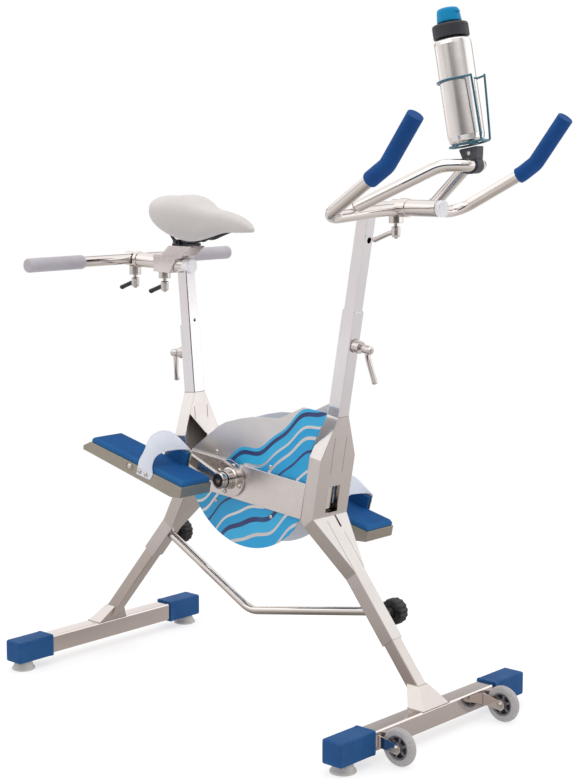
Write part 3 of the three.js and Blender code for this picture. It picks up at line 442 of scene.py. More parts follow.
class Mat:
    def __init__(self, name):
        self.m = bpy.data.materials.new(name)
        self.m.use_nodes = True
        self.t = self.m.node_tree
        self.b = self.t.nodes["Principled BSDF"]
        self.co = self.t.nodes.new("ShaderNodeTexCoord").outputs["Object"]

    def node(self, kind, ins=None, **kw):
        n = self.t.nodes.new(kind)
        for k, v in kw.items():
            setattr(n, k, v)
        for k, v in (ins or {}).items():
            if isinstance(v, bpy.types.NodeSocket):
                self.t.links.new(v, n.inputs[k])
            else:
                n.inputs[k].default_value = v
        return n

    def set(self, **kw):
        for k, v in kw.items():
            self.b.inputs[k.replace("_", " ")].default_value = v
        return self

    def link(self, out, socket):
        self.t.links.new(out, self.b.inputs[socket])
        return self

    def scaled(self, s):
        return self.node("ShaderNodeMapping", {"Vector": self.co, "Scale": s}).outputs[0]

    def noise(self, scale, detail=4, rough=0.55, co=None, distortion=0.0):
        return self.node("ShaderNodeTexNoise", {"Vector": co or self.co, "Scale": scale, "Detail": detail, "Roughness": rough, "Distortion": distortion}).outputs[0]

    def ramp(self, fac, stops, mode="LINEAR"):
        n = self.node("ShaderNodeValToRGB", {"Fac": fac})
        e = n.color_ramp.elements
        n.color_ramp.interpolation = mode
        while len(e) < len(stops):
            e.new(0.5)
        for i, (p, c) in enumerate(stops):
            e[i].position = p
            e[i].color = c if isinstance(c, tuple) else (c, c, c, 1)
        return n.outputs[0]

    def math(self, op, a, b=0.0, clamp=False):
        n = self.node("ShaderNodeMath", operation=op)
        n.use_clamp = clamp
        for i, v in enumerate((a, b)):
            if isinstance(v, bpy.types.NodeSocket):
                self.t.links.new(v, n.inputs[i])
            else:
                n.inputs[i].default_value = v
        return n.outputs[0]

    def range(self, v, a, b, c, d):
        return self.node("ShaderNodeMapRange", {"Value": v, "From Min": a, "From Max": b, "To Min": c, "To Max": d}).outputs[0]

    def mix(self, fac, a, b, mode="MIX"):
        n = self.node("ShaderNodeMix", data_type="RGBA", blend_type=mode)
        for i, v in ((0, fac), (6, a), (7, b)):
            if isinstance(v, bpy.types.NodeSocket):
                self.t.links.new(v, n.inputs[i])
            else:
                n.inputs[i].default_value = v
        return n.outputs[2]

    def bump(self, height, strength, dist, normal=None):
        ins = {"Height": height, "Strength": strength, "Distance": dist}
        if normal is not None:
            ins["Normal"] = normal
        return self.node("ShaderNodeBump", ins).outputs[0]

    def edges(self, lo=0.5, hi=0.56):
        """worn edges: where the surface turns sharply outward"""
        p = self.node("ShaderNodeNewGeometry").outputs["Pointiness"]
        return self.range(p, lo, hi, 0, 1)


def steel(name, grain=(1, 1, 1), rough=(0.16, 0.30), tint=(204, 200, 198), dark=0.86, bump=0.10, fine=900):
    """stainless steel: fine grain along one direction, cloudy polish, smears and hairline scratches"""
    m = Mat(name)
    g = m.noise(fine, 3, 0.6, m.scaled(grain))
    cloud = m.noise(9, 4, 0.6)
    smear = m.noise(34, 5, 0.65, distortion=1.2)
    hair = m.node("ShaderNodeTexVoronoi", {"Vector": m.scaled(tuple(x * 0.9 for x in grain)), "Scale": 260.0}, feature="DISTANCE_TO_EDGE").outputs["Distance"]
    line = m.range(hair, 0.0, 0.035, 1.0, 0.0)
    base = m.mix(m.range(cloud, 0.3, 0.7, 0.0, 1.0), C(*tint), tuple(c * dark for c in C(*tint)[:3]) + (1,))
    base = m.mix(m.range(g, 0.35, 0.75, 0.0, 0.07), base, tuple(c * 0.66 for c in C(*tint)[:3]) + (1,))
    m.link(base, "Base Color")
    r = m.math("ADD", m.range(cloud, 0.25, 0.75, rough[0], rough[1]), m.range(smear, 0.42, 0.75, 0.0, 0.04))
    r = m.math("ADD", r, m.range(g, 0.3, 0.7, -0.015, 0.025))
    m.link(r, "Roughness")
    b = m.bump(g, bump, 0.0001)
    b = m.bump(line, bump * 0.4, 0.00008, b)
    m.link(b, "Normal")
    m.set(Metallic=1.0)
    return m.m


steel_z = steel("steel_brushed_up", (1, 1, 0.03), (0.10, 0.17), (231, 228, 231), 0.95, 0.06)
steel_x = steel("steel_brushed_along", (0.03, 1, 1), (0.10, 0.17), (231, 228, 231), 0.95, 0.06)
steel_y = steel("steel_brushed_across", (1, 0.03, 1), (0.10, 0.17), (231, 228, 231), 0.95, 0.06)
steel_bracket = steel("steel_bracket_sheet", (0.6, 0.6, 0.2), (0.15, 0.24), (217, 211, 208), 0.93, 0.06)
steel_leg = steel("steel_leg_tube", (1, 1, 0.05), (0.13, 0.20), (214, 206, 201), 0.93, 0.06)
steel_bar = steel("steel_foot_bar", (1, 0.05, 1), (0.05, 0.10), (236, 228, 225), 0.94, 0.04)
steel_tube = steel("steel_polished_tube", (0.25, 0.25, 0.25), (0.05, 0.10), (230, 224, 220), 0.95, 0.03)
steel_fit = steel("steel_turned_fittings", (1, 1, 1), (0.08, 0.16), (218, 212, 209), 0.9, 0.05)
steel_plate = steel("steel_polished_plate", (0.5, 0.5, 0.5), (0.22, 0.32), (229, 223, 222), 0.95, 0.03)
steel_dark = steel("steel_dark_lever", (1, 1, 1), (0.24, 0.36), (74, 74, 80), 0.7, 0.2)
steel_inside = steel("steel_unpolished_inside", (1, 1, 1), (0.46, 0.58), (196, 176, 162), 0.86, 0.1)
steel_inside.node_tree.nodes["Principled BSDF"].inputs["Metallic"].default_value = 0.25  # raw back of the sheet
weld = steel("weld_bead", (1, 1, 1), (0.26, 0.42), (176, 170, 166), 0.75, 0.5, 700)
tray_metal = steel("pedal_tray_metal", (1, 1, 1), (0.42, 0.56), (177, 171, 160), 0.86, 0.2, 1400)


def plastic(name, base, dark, rough=(0.35, 0.5), bump=0.15, grain=1400, wear=0.25, spec=0.5, coat=0.0, light=None):
    """moulded plastic or rubber: fine moulded grain, slight mottling, pale scuffs on edges"""
    m = Mat(name)
    cloud = m.noise(16, 4, 0.6)
    fine = m.noise(grain, 2, 0.5)
    scuff = m.noise(120, 6, 0.7, distortion=0.6)
    col = m.mix(m.range(cloud, 0.3, 0.7, 0, 1), C(*base), C(*dark))
    edge = m.math("MULTIPLY", m.edges(0.505, 0.56), m.range(scuff, 0.42, 0.62, 0, wear), True)
    col = m.mix(edge, col, C(*(light or tuple(min(255, c + 60) for c in base))))
    m.link(col, "Base Color")
    r = m.math("ADD", m.range(cloud, 0.25, 0.75, rough[0], rough[1]), m.range(scuff, 0.45, 0.8, 0.0, 0.10))
    m.link(r, "Roughness")
    m.link(m.bump(fine, bump, 0.0003, m.bump(scuff, bump * 0.3, 0.0002)), "Normal")
    m.set(Specular_IOR_Level=spec, Coat_Weight=coat)
    return m.m


blue_cap = plastic("blue_moulded_rubber", (29, 82, 136), (23, 72, 125), (0.5, 0.62), 0.2, 900, 0.2, 0.2)
grey_rubber = plastic("grey_foot_rubber", (196, 193, 190), (180, 177, 175), (0.5, 0.64), 0.2, 800, 0.2)
black_knob = plastic("black_knob_plastic", (15, 15, 19), (10, 10, 13), (0.34, 0.5), 0.3, 1100, 0.4)
black_part = plastic("black_small_parts", (26, 26, 30), (18, 18, 22), (0.3, 0.46), 0.2, 1200, 0.3)
hub_dark = plastic("dark_hub_plastic", (112, 111, 117), (96, 95, 102), (0.3, 0.44), 0.2, 1000, 0.3)
white_plug = plastic("white_end_plug", (250, 250, 253), (244, 244, 248), (0.34, 0.46), 0.12, 900, 0.1)
lid_grey = plastic("lid_dark_grey", (46, 48, 57), (37, 39, 47), (0.42, 0.56), 0.25, 1200, 0.3)
cyan_cap = plastic("cyan_flip_cap", (6, 148, 202), (4, 136, 190), (0.42, 0.54), 0.12, 1000, 0.12, 0.2)
clamp_dark = plastic("bottle_clamp_plastic", (66, 68, 76), (52, 54, 62), (0.4, 0.54), 0.3, 900, 0.3)
saddle_base = plastic("saddle_base_plastic", (54, 54, 60), (42, 42, 48), (0.42, 0.56), 0.3, 900, 0.2)
pale_blue = steel("steel_plate_inner_face", (0.5, 0.5, 0.5), (0.46, 0.58), (222, 224, 230), 0.94, 0.05)
pale_blue.node_tree.nodes["Principled BSDF"].inputs["Metallic"].default_value = 0.2  # dull blasted back of the sheet
rotor_blue = plastic("rotor_blue_plastic", (128, 178, 214), (112, 164, 204), (0.36, 0.5), 0.2, 900, 0.2)


def teal():
    m = Mat("teal_coated_wire")
    cloud = m.noise(60, 3)
    col = m.mix(m.range(cloud, 0.3, 0.7, 0, 1), C(8, 96, 118), C(6, 82, 104))
    m.link(m.mix(m.math("MULTIPLY", m.edges(0.53, 0.6), 0.5), col, C(90, 170, 186)), "Base Color")
    m.link(m.range(m.noise(300, 3), 0.3, 0.7, 0.22, 0.36), "Roughness")
    m.link(m.bump(m.noise(1500, 2), 0.12, 0.0002), "Normal")
    m.set(Coat_Weight=0.5, Coat_Roughness=0.12)
    return m.m


teal_wire = teal()


def foam(name, base, dark, cell=950, rough=0.72, bump=0.55, sheen=0.25, painted_pit_shade=0.35):
    """closed cell foam: fine cells, small open pits with painted shade in them, soft mottling, rubbed lighter along
    edges
    """
    m = Mat(name)
    cloud = m.noise(11, 4, 0.6)
    cells = m.node("ShaderNodeTexVoronoi", {"Vector": m.co, "Scale": float(cell)}, feature="F1").outputs["Distance"]
    pits = m.node("ShaderNodeTexVoronoi", {"Vector": m.co, "Scale": cell * 0.33}, feature="F1").outputs["Distance"]
    hole = m.range(pits, 0.02, 0.16, 1, 0)
    soft = m.noise(180, 4, 0.6)
    col = m.mix(m.range(cloud, 0.3, 0.7, 0, 1), C(*base), C(*dark))
    # painted shade: the open pits darkened to a fraction of the foam colour
    col = m.mix(m.math("MULTIPLY", hole, painted_pit_shade), col, tuple(c * 0.35 for c in C(*dark)[:3]) + (1,))
    col = m.mix(m.math("MULTIPLY", m.edges(0.505, 0.57), 0.35), col, C(*tuple(min(255, int(c * 0.8 + 60)) for c in base)))
    m.link(col, "Base Color")
    m.link(m.range(soft, 0.3, 0.7, rough - 0.08, rough + 0.1), "Roughness")
    n = m.bump(soft, 0.25, 0.0006)
    n = m.bump(cells, bump, 0.00035, n)
    n = m.bump(hole, -bump * 0.6, 0.0003, n)
    m.link(n, "Normal")
    m.set(Sheen_Weight=sheen, Sheen_Roughness=0.5, Specular_IOR_Level=0.2)
    return m.m


foam_blue = foam("blue_foam_pad", (0, 82, 146), (0, 72, 132), sheen=0.0)
foam_grip_blue = foam("blue_foam_grip", (14, 76, 144), (10, 66, 130), 1100, 0.66, 0.5, 0.0, 0.3)
foam_grey = foam("pale_foam_grip", (188, 184, 191), (177, 173, 181), 1100, 0.7, 0.45, 0.05, 0.18)


def strap_mat():
    """white moulded strap, coated webbing: fine weave under a soft skin, bluish shade"""
    m = Mat("white_strap_skin")
    w1 = m.node("ShaderNodeTexWave", {"Vector": m.co, "Scale": 210.0, "Distortion": 0.3}, wave_type="BANDS", bands_direction="DIAGONAL").outputs[1]
    w2 = m.node("ShaderNodeTexWave", {"Vector": m.co, "Scale": 300.0, "Distortion": 0.3}, wave_type="BANDS", bands_direction="Y").outputs[1]
    cloud = m.noise(14, 4, 0.6)
    soil = m.noise(55, 6, 0.7, distortion=0.8)
    col = m.mix(m.range(cloud, 0.3, 0.7, 0, 1), C(224, 229, 240), C(212, 218, 232))
    col = m.mix(m.range(soil, 0.55, 0.8, 0, 0.25), col, C(196, 200, 210))
    m.link(col, "Base Color")
    m.link(m.range(soil, 0.3, 0.7, 0.46, 0.62), "Roughness")
    n = m.bump(w1, 0.16, 0.0003)
    n = m.bump(w2, 0.12, 0.0003, n)
    m.link(m.bump(m.noise(900, 3), 0.12, 0.0002, n), "Normal")
    m.set(Sheen_Weight=0.15, Subsurface_Weight=0.06, Subsurface_Radius=(0.004, 0.004, 0.005), Subsurface_Scale=1.0)
    return m.m


strap_white = strap_mat()


def saddle_mat():
    """smooth saddle cover: fine leather-like grain with painted shade in its creases, warm grey, slight shine where it
    is sat on
    """
    m = Mat("saddle_cover_skin")
    cell = m.node("ShaderNodeTexVoronoi", {"Vector": m.co, "Scale": 620.0}, feature="DISTANCE_TO_EDGE").outputs["Distance"]
    crease = m.range(cell, 0.0, 0.12, 1, 0)
    cloud = m.noise(10, 4, 0.6)
    soft = m.noise(70, 4, 0.6)
    col = m.mix(m.range(cloud, 0.3, 0.7, 0, 1), C(214, 209, 208), C(206, 201, 199))
    # painted shade: the grain's creases darkened
    col = m.mix(m.math("MULTIPLY", crease, 0.16), col, C(150, 143, 141))
    col = m.mix(m.range(soft, 0.58, 0.8, 0, 0.2), col, C(184, 178, 176))
    m.link(col, "Base Color")
    up = m.node("ShaderNodeSeparateXYZ", {0: m.node("ShaderNodeNewGeometry").outputs["Normal"]}).outputs[2]
    m.link(m.math("SUBTRACT", m.range(soft, 0.3, 0.7, 0.5, 0.62), m.range(up, 0.5, 1.0, 0.0, 0.1)), "Roughness")
    n = m.bump(crease, -0.16, 0.0004)
    m.link(m.bump(soft, 0.12, 0.0008, n), "Normal")
    m.set(Specular_IOR_Level=0.42, Sheen_Weight=0.08)
    return m.m


saddle_skin = saddle_mat()


def tyre_mat():
    m = Mat("clear_grey_tread")
    cloud = m.noise(40, 4, 0.6)
    dust = m.noise(240, 5, 0.7)
    m.link(m.mix(m.range(cloud, 0.3, 0.7, 0, 1), C(186, 183, 184), C(172, 169, 171)), "Base Color")
    m.link(m.range(dust, 0.35, 0.75, 0.22, 0.38), "Roughness")
    m.link(m.bump(dust, 0.06, 0.0002), "Normal")
    m.set(Transmission_Weight=0.12, IOR=1.42, Specular_IOR_Level=0.5)
    return m.m


tread = tyre_mat()


def bottle_mat():
    m = Mat("brushed_bottle_steel")
    ax = V(-0.19785, 0, 0.98023)
    rot = m.node("ShaderNodeMapping", {"Vector": m.co, "Rotation": (0, -math.atan2(ax.x, ax.z), 0), "Scale": (1, 1, 1)}).outputs[0]
    lines = m.node("ShaderNodeMapping", {"Vector": rot, "Scale": (0.02, 0.02, 1)}).outputs[0]
    g = m.noise(1500, 3, 0.6, lines)
    cloud = m.noise(16, 3, 0.6)
    base = m.mix(m.range(g, 0.3, 0.7, 0, 1), C(249, 247, 245), C(236, 232, 230))
    m.link(m.mix(m.range(cloud, 0.35, 0.7, 0, 0.3), base, C(212, 208, 205)), "Base Color")
    m.link(m.math("ADD", m.range(cloud, 0.3, 0.7, 0.16, 0.22), m.range(g, 0.3, 0.7, -0.02, 0.03)), "Roughness")
    m.link(m.bump(g, 0.05, 0.0001), "Normal")
    m.set(Metallic=1.0)
    return m.m


bottle_steel = bottle_mat()


def print_mat():
    """side plate: bare polished steel above, printed water bands below, smooth swell lines"""
    m = Mat("printed_side_plate")
    sep = m.node("ShaderNodeSeparateXYZ", {0: m.co}).outputs
    x, z = sep[0], sep[2]  # metres; x from the middle of the object
    w1 = m.math("MULTIPLY", m.math("SINE", m.math("ADD", m.math("MULTIPLY", x, 30.0), 0.9)), 0.012)
    w2 = m.math("MULTIPLY", m.math("SINE", m.math("ADD", m.math("MULTIPLY", x, 61.0), m.math("MULTIPLY", z, 14.0))), 0.004)
    tilt = m.math("MULTIPLY", x, 0.55)
    phi = m.math("SUBTRACT", m.math("ADD", m.math("ADD", z, w1), w2), tilt)
    f = m.range(phi, 0.300, 0.640, 0, 1)
    cy, cy2, navy, grey, bare = C(18, 158, 214), C(44, 172, 222), C(38, 48, 104), C(206, 203, 208), C(206, 203, 208)
    def at(mm):
        return (mm - 300) / 340
    stops = [(0.0, cy), (at(352), grey), (at(360), cy), (at(389), grey), (at(397), cy2), (at(424), navy), (at(436), cy), (at(457), grey), (at(464), cy),
             (at(500), navy), (at(507), cy), (at(531), grey), (at(538), cy), (at(557), grey), (at(563), cy2), (at(585), navy), (at(596), cy2), (at(604), bare)]
    col = m.ramp(f, stops, "CONSTANT")
    printed = m.math("LESS_THAN", phi, 0.604)
    bright = m.node("ShaderNodeSeparateColor", {0: col}).outputs[0]
    ink = m.math("MULTIPLY", printed, m.math("LESS_THAN", bright, 0.5))  # where there is ink and not bare metal
    cloud = m.noise(9, 4, 0.6)
    fine = m.noise(900, 3, 0.6, m.scaled((0.05, 1, 1)))
    met = m.mix(m.range(cloud, 0.3, 0.7, 0, 1), C(229, 227, 228), C(222, 219, 219))
    inkc = m.mix(m.range(m.noise(30, 4), 0.35, 0.7, 0, 0.14), col, C(14, 138, 196))
    inkc = m.mix(ink, met, inkc)
    m.link(inkc, "Base Color")
    m.link(m.math("SUBTRACT", 1.0, ink), "Metallic")
    m.link(m.math("ADD", m.range(cloud, 0.3, 0.7, 0.30, 0.38), m.math("MULTIPLY", ink, 0.06)), "Roughness")
    m.link(m.bump(fine, 0.06, 0.0002, m.bump(ink, 0.25, 0.0001)), "Normal")
    m.set(Coat_Weight=0.12, Coat_Roughness=0.15)
    return m.m


printed = print_mat()


# ------------------------------------------------------------------ shared details
def screw(o, ax, r=5, h=2.6):
    """button head screw with a hexagon recess"""
    head = lathe(prof([(0, h * 0.55), (r * 0.42, h * 0.55), (r * 0.42, h), (r * 0.62, h), (r * 0.95, h * 0.45), (r, 0), (r, -1), (0, -1)], 0.35, 2), o, ax, 28)
    return head


def cap_nut(o, ax, r=6.3, h=3.3, washer=8.2):
    ax = Vector(ax).normalized()
    o = Vector(o)
    return [lathe(prof([(0, 0), (washer, 0), (washer, 1.1), (0, 1.1)], 0.3, 2), o, ax, 32), hexa(o + ax * 1.0, ax, r, h, 0.45)]


def boss(o, ax, r, h, bore=5.4, base=-1.5):
    return lathe(prof([(bore, base), (r, base), (r, h), (bore, h)], 0.9, 3, True), o, ax, 48, closed=True)


def lever(name, base, d, arm, length, drop, body, node, arm_mat, tip_mat, tip=0.0, thick=7.6):
    """clamp screw with hub, a tapered curved arm and a thick rounded end"""
    d, a, b = Vector(d).normalized(), Vector(arm).normalized(), Vector(base)
    def at(t, u=0.0):
        return b + d * t + a * u
    parts = []
    parts.append((lathe(prof([(0, -15), (4.6, -15), (4.8, -14), (4.8, 7.5), (0, 7.5)], 0.3, 2), b, d, 28), 0))
    turns = [(0, 0.4)]
    for i in range(7):  # thread between boss and hub
        turns += [(4.9, 0.4 + i * 0.95), (4.3, 0.9 + i * 0.95)]
    turns += [(0, 7.2)]
    parts.append((lathe(turns, b, d, 24), 0))
    parts.append((lathe(prof([(0, 7), (7.4, 7), (9.6, 8.4), (9.6, 11.5), (9.0, 12.2), (9.0, 13), (9.6, 13.8), (9.4, 26), (8.4, 29.4), (6.2, 30), (0, 30)], 0.5, 3), b, d, 48), 0))
    parts.append((hexa(at(29.6), d, 4.4, 3.6, 0.4), 0))
    side_dir = d.cross(a)
    arm_pts = [at(19, 3), at(19.5 + drop * 0.12, 3 + (length - 3) * 0.22), at(20 + drop * 0.48, 3 + (length - 3) * 0.55), at(20 + drop * 0.84, 3 + (length - 3) * 0.84), at(20 + drop * 0.98 - tip, length - 2.5)]
    sp_ = spline(arm_pts, 7)
    n = len(sp_)
    scales = [(0.98 - 0.10 * math.sin(math.pi * min(1, i / (n - 1)))) for i in range(n)]
    last = (sp_[-1] - sp_[-2]).normalized()
    for q in (1.4, 2.6, 3.4, 3.9, 4.1):  # rounded end
        sp_.append(sp_[n - 1] + last * q)
    scales += [0.93, 0.78, 0.56, 0.3, 0.1]
    parts.append((sweep(sp_, [(thick * x, thick * 0.78 * y) for x, y in circle(1, 28)], None, side_dir, scales), 1))
    return make(name, parts, [steel_fit, arm_mat, tip_mat], body, node)


# ------------------------------------------------------------------ frame: brackets and sleeves
def meet(p, d, q, e):
    k = ((q[0] - p[0]) * e[1] - (q[1] - p[1]) * e[0]) / (d[0] * e[1] - d[1] * e[0])
    return (p[0] + d[0] * k, p[1] + d[1] * k)


def inside2(pt, poly):
    """whether a point of two numbers lies in a polygon"""
    c, n_ = False, len(poly)
    for i in range(n_):
        (x0, y0), (x1, y1) = poly[i], poly[(i + 1) % n_]
        if (y0 > pt[1]) != (y1 > pt[1]) and pt[0] < (x1 - x0) * (pt[1] - y0) / (y1 - y0) + x0:
            c = not c
    return c


def split_by(bm, polys, test, only):
    """cuts the faces picked by only along the sides of the polygons, which lie in the yz plane seen along x"""
    for poly in polys:
        for i in range(len(poly)):
            (y0, z0), (y1, z1) = poly[i], poly[(i + 1) % len(poly)]
            lo_y, hi_y, lo_z, hi_z = min(y0, y1) - 0.01, max(y0, y1) + 0.01, min(z0, z1) - 0.01, max(z0, z1) + 0.01
            faces = []
            for f in bm.faces:
                if not only(f):
                    continue
                ys, zs = [v.co.y for v in f.verts], [v.co.z for v in f.verts]
                if max(ys) < lo_y or min(ys) > hi_y or max(zs) < lo_z or min(zs) > hi_z:
                    continue
                faces.append(f)
            if not faces:
                continue
            geom = set(faces)
            for f in faces:
                geom.update(f.edges)
                geom.update(f.verts)
            bmesh.ops.bisect_plane(bm, geom=list(geom), dist=0.001, plane_co=(0, y0, z0), plane_no=(0, -(z1 - z0), y1 - y0))
    return [f for f in bm.faces if only(f) and test(f)]


def shell(pd, pr, ld, lr, z_top, z_flare, z_taper, z_low, holes, grooves, back, depth=0.9, wall=2.2):
    """folded and welded bracket between a post and a leg: a clean outer skin, eased edges, openings, sheet thickness"""
    h, H = OUT / 2, 59
    tt, tf, ta, tl = tat(pd, pr, z_top), tat(pd, pr, z_flare), tat(ld, lr, z_taper), tat(ld, lr, z_low)
    bf = meet(on(pr, pd, 0, h), pd, on(lr, ld, 0, h), ld)
    br = meet(on(pr, pd, 0, -h), pd, on(lr, ld, 0, -h), ld)
    def t_of(q, nrm):
        return (q[0] - lr[0]) * ld[0] + (q[1] - lr[1]) * ld[1]
    tb = min(t_of(bf, h), t_of(br, -h))
    F = [on(pr, pd, tt, h), on(pr, pd, tf, h), bf, on(lr, ld, tb, h), on(lr, ld, ta, h), on(lr, ld, tl, h)]
    R = [on(pr, pd, tt, -h), on(pr, pd, tf, -h), br, on(lr, ld, tb, -h), on(lr, ld, ta, -h), on(lr, ld, tl, -h)]
    wd = [h, H, H, H, h, h]
    same_f = (Vector(F[2]) - Vector(F[3])).length < 0.5
    same_r = (Vector(R[2]) - Vector(R[3])).length < 0.5
    bm = bmesh.new()
    vert = {}
    for sgn in (-1, 1):
        for k_, (A_, same) in (("f", (F, same_f)), ("r", (R, same_r))):
            for i in range(6):
                if i == 3 and same:
                    vert[(k_, 3, sgn)] = vert[(k_, 2, sgn)]
                else:
                    vert[(k_, i, sgn)] = bm.verts.new((A_[i][0], sgn * wd[i], A_[i][1]))
    def face(keys):
        vs = []
        for q in keys:
            if vert[q] not in vs:
                vs.append(vert[q])
        if len(vs) > 2:
            bm.faces.new(vs)
    for k_ in ("f", "r"):
        face([(k_, 0, -1), (k_, 1, -1), (k_, 2, -1), (k_, 2, 1), (k_, 1, 1), (k_, 0, 1)])
        face([(k_, 2, -1), (k_, 3, -1), (k_, 4, -1), (k_, 5, -1), (k_, 5, 1), (k_, 4, 1), (k_, 3, 1), (k_, 2, 1)])
    for sgn in (-1, 1):
        for i in (0, 1, 3, 4):
            face([("f", i, sgn), ("f", i + 1, sgn), ("r", i + 1, sgn), ("r", i, sgn)])
        face([("f", 2, sgn), ("f", 3, sgn), ("r", 3, sgn), ("r", 2, sgn)])
    face([("f", 0, -1), ("f", 0, 1), ("r", 0, 1), ("r", 0, -1)])
    face([("f", 5, -1), ("f", 5, 1), ("r", 5, 1), ("r", 5, -1)])
    fix(bm)
    # folded corners along the walls' long edges
    ends = {vert[(k_, i, sgn)] for k_ in ("f", "r") for i in (0, 5) for sgn in (-1, 1)}
    edges = [e for e in bm.edges if e.calc_face_angle(0) > rad(14) and not (e.verts[0] in ends and e.verts[1] in ends)]
    bmesh.ops.bevel(bm, geom=edges, offset=1.5, offset_type="OFFSET", segments=3, profile=0.5, affect="EDGES", clamp_overlap=False)
    # open ends of the sleeves
    pdv, ldv = V(pd[0], 0, pd[1]), V(ld[0], 0, ld[1])
    gone = [f for f in bm.faces if f.normal.dot(pdv) > 0.98 or f.normal.dot(ldv) < -0.98]
    bmesh.ops.delete(bm, geom=gone, context="FACES")
    nf_up, nf_dn = V(pd[1], 0, -pd[0]), V(ld[1], 0, -ld[0])
    def front_up(f):
        return f.normal.dot(nf_up) > 0.9995
    def front_dn(f):
        return f.normal.dot(nf_dn) > 0.9995
    def pick(polys):
        return lambda f: any(inside2((f.calc_center_median().y, f.calc_center_median().z), q) for q in polys)
    for polys, only in holes:
        sel = split_by(bm, polys, pick(polys), {"up": front_up, "down": front_dn, "both": lambda f: f.normal.x > 0.5, "rear": lambda f: f.normal.dot(nf_up) < -0.9995}[only])
        bmesh.ops.delete(bm, geom=sel, context="FACES")
    # sides and back cut away beyond a plane of constant x
    if back:
        x_cut, poly, sign = back
        z0, z1 = poly
        geom = list(bm.faces) + list(bm.edges) + list(bm.verts)
        for co, no in (((x_cut, 0, 0), (1, 0, 0)), ((0, 0, z0), (0, 0, 1)), ((0, 0, z1), (0, 0, 1))):
            geom = list(bm.faces) + list(bm.edges) + list(bm.verts)
            bmesh.ops.bisect_plane(bm, geom=geom, dist=0.001, plane_co=co, plane_no=no)
        sel = [f for f in bm.faces if sign * (f.calc_center_median().x - x_cut) < 0 and z0 < f.calc_center_median().z < z1]
        bmesh.ops.delete(bm, geom=sel, context="FACES")
    # pressed grooves
    for polys, only in grooves:
        sel = split_by(bm, polys, pick(polys), {"up": front_up, "down": front_dn}[only])
        if sel:
            bmesh.ops.inset_region(bm, faces=sel, thickness=0.05, depth=-depth, use_boundary=True, use_even_offset=True)
    bm.normal_update()
    me = bpy.data.meshes.new("shell")
    bm.to_mesh(me)
    bm.free()
    o = bpy.data.objects.new("shell", me)
    SCENE.collection.objects.link(o)
    m_ = o.modifiers.new("wall", "SOLIDIFY")
    m_.thickness, m_.offset, m_.use_even_offset = wall, -1, False
    me2 = bpy.data.meshes.new_from_object(o.evaluated_get(bpy.context.evaluated_depsgraph_get()))
    out = bmesh.new()
    out.from_mesh(me2)
    bpy.data.objects.remove(o)
    bpy.data.meshes.remove(me)
    bpy.data.meshes.remove(me2)
    return out, F, R


def strip(y0, y1, z0, z1):
    return [(y0, z0), (y1, z0), (y1, z1), (y0, z1)]


fb, FF, FR = shell(fp, FP_REF, fl, FL_REF, 686, 592, 330, 198,
    [([strip(-18.5, 22.5, 462, 524)], "up"), ([strip(12.5, 18.5, 430, 462)], "down"), ([strip(-51.5, 51.5, 472, 646)], "rear")],
    [([strip(-20.9, -19.1, 554, 638), strip(19.1, 20.9, 554, 638)], "up"), ([strip(-18.2, -16.8, 346, 446), strip(16.8, 18.2, 346, 420)], "down")],
    None)
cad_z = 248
fkx = FL_REF[0] + ((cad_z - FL_REF[1]) * fl[0]) / fl[1]
rkx = RL_REF[0] + ((329 - RL_REF[1]) * rl[0]) / rl[1]
bend_w = [V(FF[2][0] + 0.2, y, FF[2][1]) for y in (-57.9, 57.9)]
inner_x = [on(FP_REF, fp, tat(fp, FP_REF, z), OUT / 2 - 14) for z in (449, 533)]
panel = prism([(-47, 0), (15.5, 0), (15.5, 84), (2, 84), (1.2, 79.6), (-1.8, 77.6), (-4.8, 79.6), (-5.6, 84), (-47, 84)], p3(inner_x[0]), (0, 1, 0), (fp[0], 0, fp[1]), 1.8, 0.3)
make("front_bracket_plates", [
    (fb, 0),
    (bead(bend_w, 0.8, 8, 2.2, 0.15, False), 1),
    (panel, 3),
    (bead(ring_path((fkx, 17.8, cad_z), (0, 1, 0), 11.4), 1.1), 1),
    (lathe(prof([(5.5, 16.5), (11.1, 16.5), (11.1, 36.1), (5.5, 36.1)], 0.8, 3, True), (fkx, 0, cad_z), (0, 1, 0), 48, True), 2),
], [steel_bracket, weld, steel_fit, steel_tube], "frame", "front_bracket_and_leg_sleeve")

rb, RF, RR = shell(sp, SP_REF, rl, RL_REF, 695, 597, 362, 282,
    [([[(-51.5, 493), (15, 493), (15, 595), (8, 600), (-51.5, 662)]], "both")],
    [([strip(-21.9, -20.1, 634, 664), strip(20.1, 21.9, 634, 664)], "up")],
    None)
rear_o = make("rear_bracket_plates", [
    (rb, 0),
    (bead(ring_path((rkx, 17.8, 329), (0, 1, 0), 11.4), 1.1), 1),
    (lathe(prof([(5.5, 16.5), (11.1, 16.5), (11.1, 36.1), (5.5, 36.1)], 0.8, 3, True), (rkx, 0, 329), (0, 1, 0), 48, True), 2),
], [steel_bracket, weld, steel_fit, steel_inside], "frame", "rear_bracket_and_leg_sleeve")
for poly in rear_o.data.polygons:  # the back of the sheet, seen through the opening
    c = poly.center
    off = (c.x * 1000 + OX - SP_REF[0]) * sp[1] - (c.z * 1000 + OZ - SP_REF[1]) * sp[0]
    facing = poly.normal.x * sp[1] - poly.normal.z * sp[0]
    if poly.material_index == 0 and c.z > 0.40 and ((facing > 0.9 and off < 0) or (abs(poly.normal.y) > 0.5 and poly.normal.y * c.y < 0)):
        poly.material_index = 3


